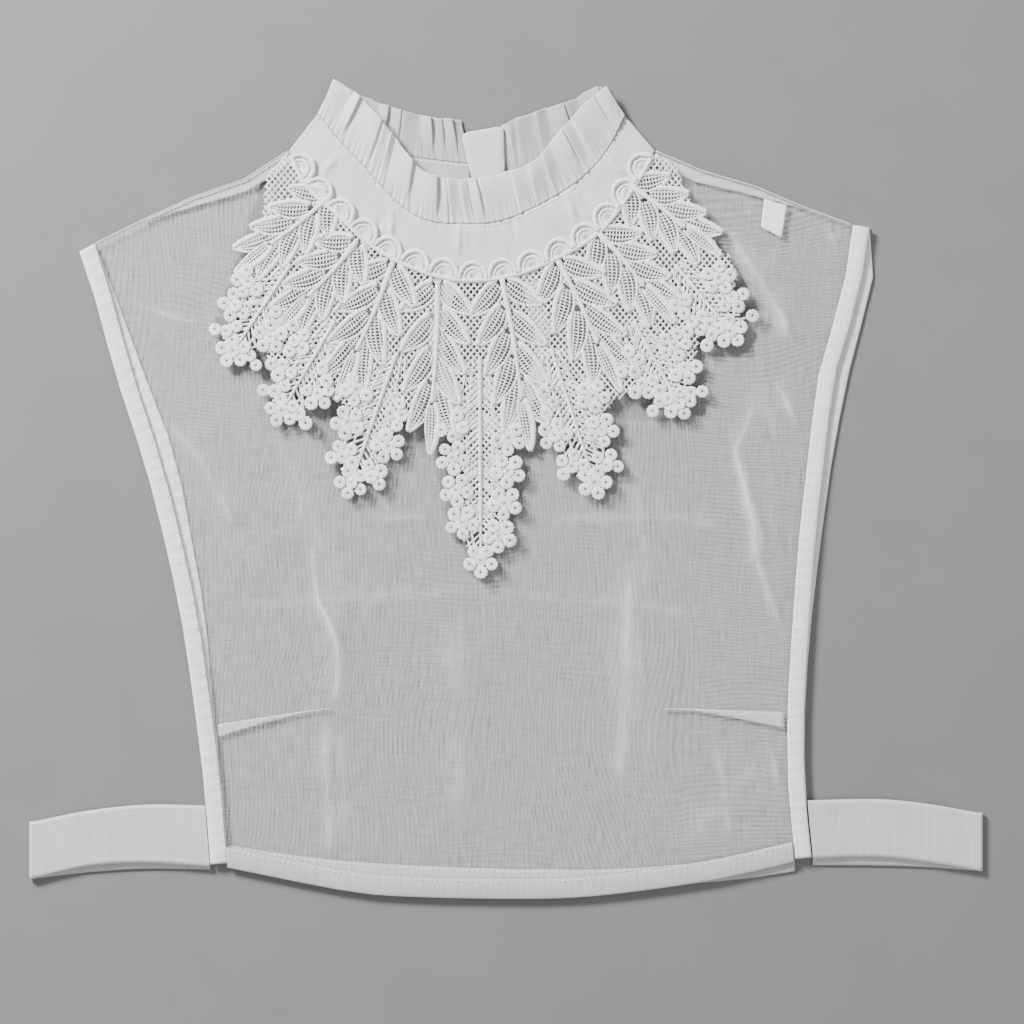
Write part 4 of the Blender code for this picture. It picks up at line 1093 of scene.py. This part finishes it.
# %% The ruffle
RUFFLE_WALL = 0.3
RUFFLE_SEAM = 0.14  # gap between the stand and the ruffle
FRONT_LEVEL, BACK_LEVEL, LOWEST = 3.62, 0.85, 0.3


def fold_shape(phase, skew):
    """Height of a row of folds, 0 to 1: each rises slowly and turns over quickly."""
    part = phase % 1.0
    rise = 0.5 - 0.5 * np.cos(math.pi * part / skew)
    drop = 0.5 + 0.5 * np.cos(math.pi * (part - skew) / (1 - skew))
    return np.where(part < skew, rise, drop)


def add_ruffle(node, table, gathers, front, seed):
    """Make one stretch of the ruffle: uneven folds, tight at the seam and open at the edge."""
    count = gathers * 22 + 1
    _, seam, edge, last = collar_lines(table, count)
    local = np.random.default_rng(seed)
    place = np.linspace(0.0, 1.0, count)
    widths = local.uniform(0.5, 1.0, gathers) * local.choice((0.7, 1.0, 1.8), gathers)
    starts = np.concatenate([[0.0], np.cumsum(widths)]) / widths.sum()
    phase = np.interp(place, starts, np.arange(gathers + 1))
    each = np.minimum(phase.astype(int), gathers - 1)
    skew = np.where(local.uniform(size=gathers) < 0.65, 0.87, 0.14)[each]
    size = local.uniform(0.4, 1.25, gathers)[each]
    reach_up = local.uniform(0.45, 1.5, gathers)[each]
    out = unit(edge - seam)
    reach = np.linalg.norm(edge - seam, axis=1)[:, None]
    along = unit(np.gradient(seam, axis=0))
    small, wide = (np.array([noise.noise(Vector((p * gathers * pace, seed, shift)))
                             for p in place]) for pace, shift in ((1.7, 0.5), (0.34, 9.5)))
    ends = fade(np.minimum(place, 1 - place) * gathers / 1.2)
    folds = fold_shape(phase, skew)
    tiny = fold_shape(place * gathers * 3.1 + 0.9 * small, np.full(count, 0.6)) - 0.5
    under_lap = place if node == "ruffle_back_right" else 1 - place
    low = 0.3 + 0.7 * fade(under_lap * gathers / 0.8)
    rows = []
    for t in np.linspace(0.0, 1.0, 26):
        hold = 1 - 0.75 * fade((t - reach_up) / 0.5)
        tall = (0.42 + 1.5 * fade(t / 0.75)) * size * hold
        lean = 1.15 * fade(t / 0.6) * size * hold
        bow = 0.55 * t ** 2 * small
        plan = seam + out * (RUFFLE_SEAM + (reach - RUFFLE_SEAM) * t + bow[:, None])
        sway = 2.6 * wide * t * ends
        shift = lean * (folds - 0.5) * np.where(skew > 0.5, 1.0, -1.0) + sway
        plan = plan + along * shift[:, None]
        if front:
            middle = FRONT_LEVEL + (last - FRONT_LEVEL) * fade(t / 0.9) ** 0.8
            height = tall * (folds - 0.45) * (0.3 + 0.7 * ends) + 1.0 * wide * t
        else:
            middle = BACK_LEVEL + last * 0.75 * t * low
            height = (0.25 + 0.75 * t) * tall * (folds - 0.3) * low
        z = middle + height + 0.5 * tiny * (1 - t) ** 3 * (1.0 if front else 0.6)
        rows.append(np.column_stack([plan, np.maximum(z, LOWEST)]))
    # the back ruffle takes the darker copy of the collar cloth, a painted shade
    return shell(f"{node}_cloth", np.array(rows), RUFFLE_WALL, COLLAR if front else COLLAR_PAINTED_SHADE,
                 (node,))


ruffles = [
    add_ruffle("ruffle_front", COLLAR_FRONT, 19, True, 3),
    add_ruffle("ruffle_back_left", COLLAR_BACK_LEFT, 9, False, 5),
    add_ruffle("ruffle_back_right", COLLAR_BACK_RIGHT, 8, False, 9),
]
print("ruffle pieces:", len(ruffles))

# %% [markdown]
# ### The closure lap
# The band's plain end laps over the ruffle at the centre back. It is cloth of four
# layers, so its corners are round and its edges lower than its middle.

# %% The closure lap
LAP = ((-14.2, 139.5), (-2.0, 139.5), (-1.0, 160.0), (-1.6, 181.6), (-22.8, 177.8))
LAP_CORNER = 3.6


def add_lap():
    """Make the plain end of the band, which laps over the ruffle's first fold."""
    corners = np.array(LAP)
    loop = []
    t = np.linspace(0.0, 1.0, 7)[:, None]
    for before, corner, after in zip(np.roll(corners, 1, axis=0), corners,
                                     np.roll(corners, -1, axis=0)):
        start, end = (corner + unit(other - corner) * LAP_CORNER for other in (before, after))
        loop.append(start * (1 - t) ** 2 + corner * 2 * t * (1 - t) + end * t ** 2)
    plan, faces = fill_plan(np.vstack(loop), 1.0)
    border = plan[boundary(faces)]
    gap = np.min(np.linalg.norm(plan[:, None] - border[None], axis=2), axis=1)
    z = 2.15 + 0.25 * fade(gap / 2.5) + 0.12 * ripple(plan, (8.0, 10.0), 4.0)
    return flat_shell("closure_lap_cloth", plan, faces, z, 0.8, COLLAR,
                      "closure_lap")


lap = add_lap()
print("collar pieces:", len(stands) + len(ruffles) + 2)

# %% [markdown]
# ## Guipure lace
# Guipure is embroidered on a backing that is then dissolved, so only thread is
# left: thick satin cords round every leaf, fine ladders inside it, and rings of
# thread for the berries. Eight leaf sprigs alternate with seven berry sprays. Each
# is drawn by rule from one table row, because the real one is a repeat too.

# %% Tables of the lace
LACE_LEVEL = 4.25
SPRIGS = (  # root, tip, leaves on the left and on the right, a leaf's length and width
    ((-88.5, 146.0), (-136.0, 108.0), 4, 4, 23.0, 7.2),
    ((-75.0, 123.5), (-115.5, 78.0), 4, 4, 24.0, 7.4),
    ((-57.0, 113.0), (-85.5, 44.0), 4, 4, 27.0, 7.6),
    ((-34.5, 104.0), (-38.5, 17.0), 4, 5, 26.0, 7.8),
    ((-2.5, 105.0), (11.5, 19.0), 5, 4, 26.0, 7.8),
    ((25.5, 114.0), (57.0, 48.0), 4, 4, 27.0, 7.6),
    ((46.0, 127.5), (84.0, 82.5), 4, 4, 24.0, 7.4),
    ((61.0, 152.0), (107.0, 116.0), 4, 4, 23.0, 7.2),
)
SPRAYS = (  # root, point, half width, pairs of clusters
    ((-108.0, 112.0), (-141.5, 61.5), 15.5, 3),
    ((-86.0, 84.0), (-116.5, 31.5), 15.0, 3),
    ((-55.0, 68.0), (-80.5, -5.0), 15.5, 3),
    ((-13.5, 66.0), (-13.0, -44.5), 17.5, 4),
    ((22.0, 70.0), (46.5, -5.0), 15.5, 3),
    ((63.0, 84.0), (90.0, 35.0), 15.0, 3),
    ((84.0, 112.0), (117.0, 72.0), 15.5, 3),
)
NET = (
    (-109.0, 168.0), (-101.0, 153.5), (-85.5, 139.0), (-68.0, 123.4), (-47.0, 112.2),
    (-24.5, 106.6), (-3.0, 107.6), (18.5, 114.2), (43.0, 128.6), (59.0, 147.4), (73.0, 168.0),
    (86.0, 161.0), (90.0, 147.0), (98.5, 136.5), (99.5, 126.0), (112.0, 116.0), (116.0, 106.0),
    (106.0, 84.0), (96.0, 74.0), (94.0, 60.0), (80.0, 48.0), (62.0, 48.0), (55.0, 44.0),
    (48.0, 36.0), (46.0, 16.0), (34.0, 24.0), (22.0, 34.0), (10.0, 36.0), (-2.0, 22.0),
    (-6.0, -22.0), (-19.0, -22.0), (-24.0, 22.0), (-36.0, 34.0), (-50.0, 34.0), (-66.0, 16.0),
    (-78.0, 34.0), (-84.0, 44.0), (-98.0, 44.0), (-118.0, 62.0), (-124.0, 78.0),
    (-134.0, 92.0), (-136.0, 104.0), (-127.0, 120.0), (-123.0, 134.0), (-120.6, 157.0),
)

# %% [markdown]
# ### Leaves
# A leaf has a thick satin cord on one side and a thinner one on the other, three
# ribs and a ladder of rungs. The machine never sews through a leaf that is there,
# so each new cord is laid only where no earlier leaf is in its way.

# %% Leaves
# Height above the lace's level, radius, sides, flatness and unevenness of each cord.
RIB = (0.1, 0.40, 5, 0.7, 0.22)
STALK = (0.1, 0.62, 5, 0.6, 0.25)
SIDE_LINE = (0.02, 0.60, 5, 0.6, 0.3)
BAR = (0.05, 0.56, 5, 0.7, 0.3)
NET_THREAD = (-0.1, 0.50, 4, 0.6, 0.2)
RUNG_PITCH = 1.6
LEAF_FULLNESS = 1.48
SATIN_THICK, SATIN_THIN = 1.4, 0.75  # radii of a leaf's two cords
TAKEN = []


def kept_runs(line, keep, least):
    """Unbroken stretches of a line whose points are kept, of so many points at least."""
    cuts = np.flatnonzero(np.diff(keep.astype(int))) + 1
    return [run for run, kept in zip(np.split(line, cuts), np.split(keep, cuts))
            if kept[0] and len(run) >= least]


def free_runs(line):
    """Parts of a plan line that lie outside every leaf made so far."""
    line = np.asarray(line, float)
    low, high = line.min(axis=0), line.max(axis=0)
    keep = np.ones(len(line), dtype=bool)
    for outline in TAKEN:
        if np.all(low < outline.max(axis=0)) and np.all(high > outline.min(axis=0)):
            keep &= ~inside(line, outline)
    return kept_runs(line, keep, 2)


def lay(cords, line, height, radius, sides, flat, rough, step=None):
    """Lay a cord along a plan line, where no leaf made so far is in its way."""
    for run in free_runs(line):
        run = even(run, step=step) if step else run
        cords.add(lift(run, LACE_LEVEL + height), radius, sides, flat, rough=rough)


def add_leaf(cords, base, way, length, width, bend, heavy):
    """Add a pointed leaf: satin cords round it, ribs along it and rungs between them."""
    way = unit(way)
    side = turned(way, 90)
    t = np.linspace(0.0, 1.0, 22)
    axis = base + np.outer(t * length, way) + np.outer(bend * length * np.sin(math.pi * t), side)
    half = (width / 2 - 1.0) * np.sin(math.pi * (0.05 + 0.95 * t) ** 0.8) ** 0.7
    thin = float((0.45 + 0.55 * np.sin(math.pi * (0.1 + 0.85 * t)) ** 0.6).mean())
    lines = [axis + side * (half * share)[:, None] for share in (-1.0, -0.5, 0.0, 0.5, 1.0)]
    for sign, line in ((-1, lines[0]), (1, lines[4])):
        satin = SATIN_THICK if sign == heavy else SATIN_THIN
        lay(cords, line, 0.2, satin * thin, 8, 0.42, 0.24, step=1.3)
    for line in lines[1:4]:
        lay(cords, line[1:-2], *RIB)
    for place in np.arange(1.8, length - 2.0, RUNG_PITCH) / length:
        rung = np.array([[np.interp(place + lag, t, column) for column in line.T]
                         for line, lag in zip((lines[0], lines[4]), (0.0, 0.03))])
        for run in free_runs(even(rung, count=8)):
            cords.add(lift(run[[0, -1]], LACE_LEVEL), 0.34, 4, 0.8)
    TAKEN.append(np.vstack([lines[0], lines[4][::-1]]))


def add_sprig(cords, root, tip, left, right, length, width):
    """Add a stem with leaves on both sides and one at its end."""
    root, tip = np.array(root), np.array(tip)
    way = unit(tip - root)
    reach = np.linalg.norm(tip - root)
    stem_end = root + way * (reach - length)
    stem = smooth([root, (root + stem_end) / 2 + turned(way, 90) * 0.8, stem_end], step=1.6)
    cords.add(lift(stem, LACE_LEVEL + 0.45), np.linspace(1.4, 0.8, len(stem)), 10, 0.45, 0.16)
    add_leaf(cords, stem_end, way, length, width * 1.1, 0.02, 1)
    for sign, leaves in ((-1, left), (1, right)):
        for i in range(leaves):
            share = i / (leaves - 1)
            base = root + way * (0.03 + 0.80 * share) * (reach - length)
            base = base + turned(way, sign * 90) * 1.4
            add_leaf(cords, base, turned(way, sign * (50 - 29 * share)),
                     length * (0.84 + 0.20 * share), width * LEAF_FULLNESS, -0.05 * sign, sign)


leaf_cords = Cords()
for sprig in SPRIGS:
    add_sprig(leaf_cords, *sprig)
lace_leaves = leaf_cords.piece("lace_leaves", LACE_THREAD, "lace_thread", ("lace",))

# %% [markdown]
# ### Sprays
# A spray hangs between two sprigs. Its stem carries clusters of berries, and slanted
# bars tie it to two side lines, as a ladder does. Berries that would lie over
# another one are left out, and a stalk ties each one to its cluster.

# %% Sprays: stems, ladders and the places of the berries
BERRY_ROOM = 4.4  # least distance between berries
BERRY_RING = 5.7  # from a cluster's middle to its outer berries
BAR_PITCH = 3.1


def cluster_places(root, point, half_width, pairs):
    """Centres of a spray's clusters and the way each one faces."""
    way = unit(point - root)
    reach = np.linalg.norm(point - root)
    places = [(point - way * 8.7, way)]
    for i in range(pairs):
        share = i / (pairs - 1)
        aside = half_width * 0.82 * (1 - 0.35 * share ** 2)
        for sign in (-1, 1):
            out = turned(way, sign * 90)
            middle = root + way * reach * (0.34 + 0.44 * share + 0.03 * sign) + out * aside
            places.append((middle, turned(out, -24 * sign)))
    return places


berries = []
spray_cords = Cords()
for root, point, half_width, pairs in SPRAYS:
    root, point = np.array(root), np.array(point)
    way = unit(point - root)
    places = cluster_places(root, point, half_width, pairs)
    tip = places[0][0]
    stem = even([root, tip], step=1.8)
    spray_cords.add(lift(stem, LACE_LEVEL + 0.5), np.linspace(1.05, 0.65, len(stem)),
                    8, 0.6, 0.24)
    length = np.linalg.norm(tip - root)
    for centre, facing in places:
        ring = [centre + turned(facing, 72 * i) * BERRY_RING for i in range(5)] + [centre]
        onward = float((centre - root) @ way)
        branch = root + way * (onward - 0.9 * np.linalg.norm(centre - root - way * onward))
        stalks = [even([branch, centre], step=1.2)]
        for place in ring:
            crowded = any(np.linalg.norm(place - other) < BERRY_ROOM for other in berries)
            if not crowded and free_runs([place, place]):
                berries.append(place)
                stalks.append(even([centre, place + unit(place - centre + 1e-6) * -1.5],
                                   step=1.2))
        for stalk in stalks:
            lay(spray_cords, stalk, *STALK)
    t = np.linspace(0.02, 0.98, 26)
    spread = half_width * (0.30 + 0.62 * np.minimum(t / 0.3, 1.0)) * (1 - 0.3 * t ** 2) * 0.72
    spread = spread * (0.35 + 0.65 * fade((1 - t) / 0.22))
    for sign in (-1, 1):
        out = turned(way, sign * 90)
        for share in (0.5, 1.0):
            line = root + np.outer(t * length, way) + np.outer(1.0 + spread * share, out)
            lay(spray_cords, line, *SIDE_LINE)
        for place in np.arange(1.5, length - 1.0, BAR_PITCH):
            reach = 1.0 + float(np.interp(place / length, t, spread)) * 1.25
            slope = turned(way, sign * (48 + rng.uniform(-5, 5)))
            bar = even([root + way * place, root + way * place + slope * reach], step=1.2)
            lay(spray_cords, bar, *BAR)
print("berries:", len(berries))

# %% [markdown]
# ### Berries
# One berry is a ring wound with thread, with a pinhole in its middle. Geometry
# nodes set a copy on every point, turned and sized at random from a fixed seed, so
# that no two neighbours look stamped.

# %% One berry, repeated by geometry nodes
RING, TUBE, KNOBS = 33, 8, 11
BERRY_RADIUS, BERRY_WALL, BERRY_HEIGHT = 1.86, 1.42, 0.52
SQUARENESS = 0.4
TILT = 0.12  # at most, in radians


def squared(value):
    """A sine or cosine pushed towards its ends, for a flatter round."""
    return math.copysign(abs(value) ** SQUARENESS, value)


def berry_mesh():
    """A knobbly round of buttonhole stitches with a pinhole in its middle."""
    verts, along, faces = [], [], []
    for i in range(RING):
        a = 2 * math.pi * i / RING
        knob = 1.0 + 0.15 * math.cos(KNOBS * a) + 0.06 * math.cos(2 * a)
        for k in range(TUBE):
            b = 2 * math.pi * (k + 0.5) / TUBE
            out, up = squared(math.cos(b)), squared(math.sin(b))
            r = BERRY_RADIUS + BERRY_WALL * out * (knob if out > 0 else 1.0)
            verts.append((r * math.cos(a) * MM, r * math.sin(a) * MM,
                          BERRY_HEIGHT * knob * up * MM))
            along.append(a * 2.0)
            here, there = i * TUBE, (i + 1) % RING * TUBE
            faces.append((here + k, there + k, there + (k + 1) % TUBE, here + (k + 1) % TUBE))
    mesh = bpy.data.meshes.new("berry")
    mesh.from_pydata(verts, [], faces)
    set_values(mesh, "along", along)
    return mesh


def berry_tree(master):
    """Geometry nodes that set a berry on every point of a mesh."""
    tree, source, placed = repeat_tree("berries", (("Smallest", 0.92), ("Largest", 1.08),
                                                   ("Seed", SEED)))
    node, link = tree.nodes.new, tree.links.new
    berry = node('GeometryNodeObjectInfo')
    berry.inputs["Object"].default_value = master
    spin = node('FunctionNodeRandomValue')
    spin.data_type = 'FLOAT_VECTOR'
    spin.inputs["Min"].default_value = (-TILT, -TILT, 0.0)
    spin.inputs["Max"].default_value = (TILT, TILT, 6.28)
    grow = node('FunctionNodeRandomValue')
    link(source["Geometry"], placed["Points"])
    link(berry.outputs["Geometry"], placed["Instance"])
    link(source["Seed"], spin.inputs["Seed"])
    link(spin.outputs["Value"], placed["Rotation"])
    link(source["Smallest"], grow.inputs[2])
    link(source["Largest"], grow.inputs[3])
    link(source["Seed"], grow.inputs["Seed"])
    link(grow.outputs[1], placed["Scale"])
    return tree


master = add_object("berry", berry_mesh())
points = bpy.data.meshes.new("lace_berries")
points.from_pydata((lift(np.array(berries), LACE_LEVEL + 0.35) * MM).tolist(), [], [])
lace_berries = add_object("lace_berries", points)
run_tree(lace_berries, berry_tree(master), {"Smallest": 0.9, "Largest": 1.08, "Seed": SEED,
                                            "Thread": LACE_THREAD})
bpy.data.objects.remove(master, do_unlink=True)
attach(lace_berries, "root")
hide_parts("lace")
lace_sprays = spray_cords.piece("lace_sprays", LACE_THREAD, "lace_thread", ("lace",))

# %% [markdown]
# ### Net
# Fine threads in two slants make diamonds that join the sprigs. They stop at every
# leaf, as the sewn ones do.

# %% Diamond net
NET_WIDTH = 3.1
NET_SLOPE = 0.85
outline = np.array(NET)
net_cords = Cords()
y = np.arange(-40.0, 172.0, 1.1)
for slant in (1.0, -1.0):
    for offset in np.arange(-300.0, 300.0, NET_WIDTH):
        plan = np.column_stack([offset + slant * (y - 60.0) * NET_SLOPE, y])
        for run in kept_runs(plan, inside(plan, outline), 3):
            lay(net_cords, run, *NET_THREAD, step=2.4)

# %% [markdown]
# ### Scallops
# A row of ridged arcs covers the seam between the lace and the stand. Spokes fill
# each arc, and one cord runs along its foot.

# %% Scallops along the foot of the stand
SCALLOPS = 15
SCALLOP_HEIGHT = 8.8
SPOKES = 24
foot = smooth([row[0] for row in COLLAR_FRONT], step=1.0)
ends = even(foot[3:-3], count=SCALLOPS + 1)
angle = np.linspace(0.0, math.pi, SPOKES)
for start, end in zip(ends[:-1], ends[1:]):
    middle, along = (start + end) / 2, (end - start) / 2
    up = turned(unit(along), 90)
    arc = np.outer(-np.cos(angle), along) + np.outer(np.sin(angle) * SCALLOP_HEIGHT, up)
    for scale, radius, rise in ((0.90, 1.1, 0.45), (0.58, 0.5, 0.35)):
        net_cords.add(lift(middle + arc * scale, LACE_LEVEL + rise), radius, 8, 0.6, 0.2)
    for spoke in arc:
        net_cords.add(lift([middle, middle + spoke * 0.88], LACE_LEVEL + 0.02), (0.3, 0.62),
                      4, 0.5)
foot_cord = even(foot[2:-2], step=1.3) - np.array((0.0, 0.6))
net_cords.add(lift(foot_cord, LACE_LEVEL + 0.3), 1.15, 8, 0.6, 0.12)
lace_net = net_cords.piece("lace_net", LACE_THREAD, "lace_thread", ("lace",))

# %% [markdown]
# Each sheet's cloth area is printed, as half of its shell's surface. The ruffle's
# strip is longer than its seam, because it is gathered.

# %% Sheets
def cloth_area(piece):
    """Half of a thin shell's surface, in square metres."""
    return sum(face.area for face in piece.data.polygons) / 2


for piece in (front_panel, back_panel, *ruffles, *stands, *elastics):
    print(piece.name, "cloth area", round(cloth_area(piece), 5))

# %% [markdown]
# ## Floor and light
# The collar lies on a plain pale floor. One large soft light comes low from the
# upper left, so that folds and cords throw short shadows, and a weaker one fills
# them from the other side. An even sky lifts the rest.

# %% Floor
FLOOR_HALF, FLOOR_LEVEL = 5000.0, -0.05


def add_floor():
    """A wide pale floor with a faint grain."""
    paper = Finish("floor", 0.9)
    tone = paper.add("MixRGB", paper.cloud(40.0), (0.160, 0.160, 0.162), (0.178, 0.178, 0.180))
    paper.put("Base Color", tone)
    paper.bump(paper.cloud(1.2), 0.03)
    corners = ((-1, -1), (1, -1), (1, 1), (-1, 1))
    verts = [(x * FLOOR_HALF, y * FLOOR_HALF, FLOOR_LEVEL) for x, y in corners]
    mesh = bpy.data.meshes.new("floor")
    mesh.from_pydata((np.array(verts) * MM).tolist(), [], [(0, 1, 2, 3)])
    mesh.materials.append(paper.material)
    add_object("floor", mesh)


add_floor()
print("floor:", 2 * FLOOR_HALF * MM, "m wide")

# %% Lights
LIGHTS = (  # name, place, power in watts, width
    ("key", (-1.2, 1.2, 0.95), 128.0, 0.45),
    ("fill", (1.2, -0.7, 1.6), 12.0, 1.2),
)
SKY = 0.55


def add_light(name, place, power, size):
    """A soft square light that looks at the collar."""
    light = bpy.data.lights.new(name, 'AREA')
    light.energy = power
    light.size = size
    lamp = add_object(name, light)
    lamp.location = place
    lamp.rotation_euler = (-Vector(place)).to_track_quat('-Z', 'Y').to_euler()


for light in LIGHTS:
    add_light(*light)
world = bpy.data.worlds.new("studio")
world.use_nodes = True
sky = world.node_tree.nodes["Background"].inputs
sky["Color"].default_value = (1.0, 1.0, 1.0, 1.0)
sky["Strength"].default_value = SKY
bpy.context.scene.world = world
print("lights:", len(bpy.data.lights))

# %% [markdown]
# ## Camera
# A flat garment is photographed from straight above. The lens is long, so that its
# edges aren't seen from the side.

# %% Camera
LENS, SENSOR = 100.0, 36.0
EYE = (0.0025, -0.0115, 1.4242)
lens = bpy.data.cameras.new("camera")
lens.lens = LENS
lens.sensor_width = SENSOR
camera = add_object("camera", lens)
camera.location = EYE
bpy.context.scene.camera = camera
print("camera:", EYE[2], "m above the floor")
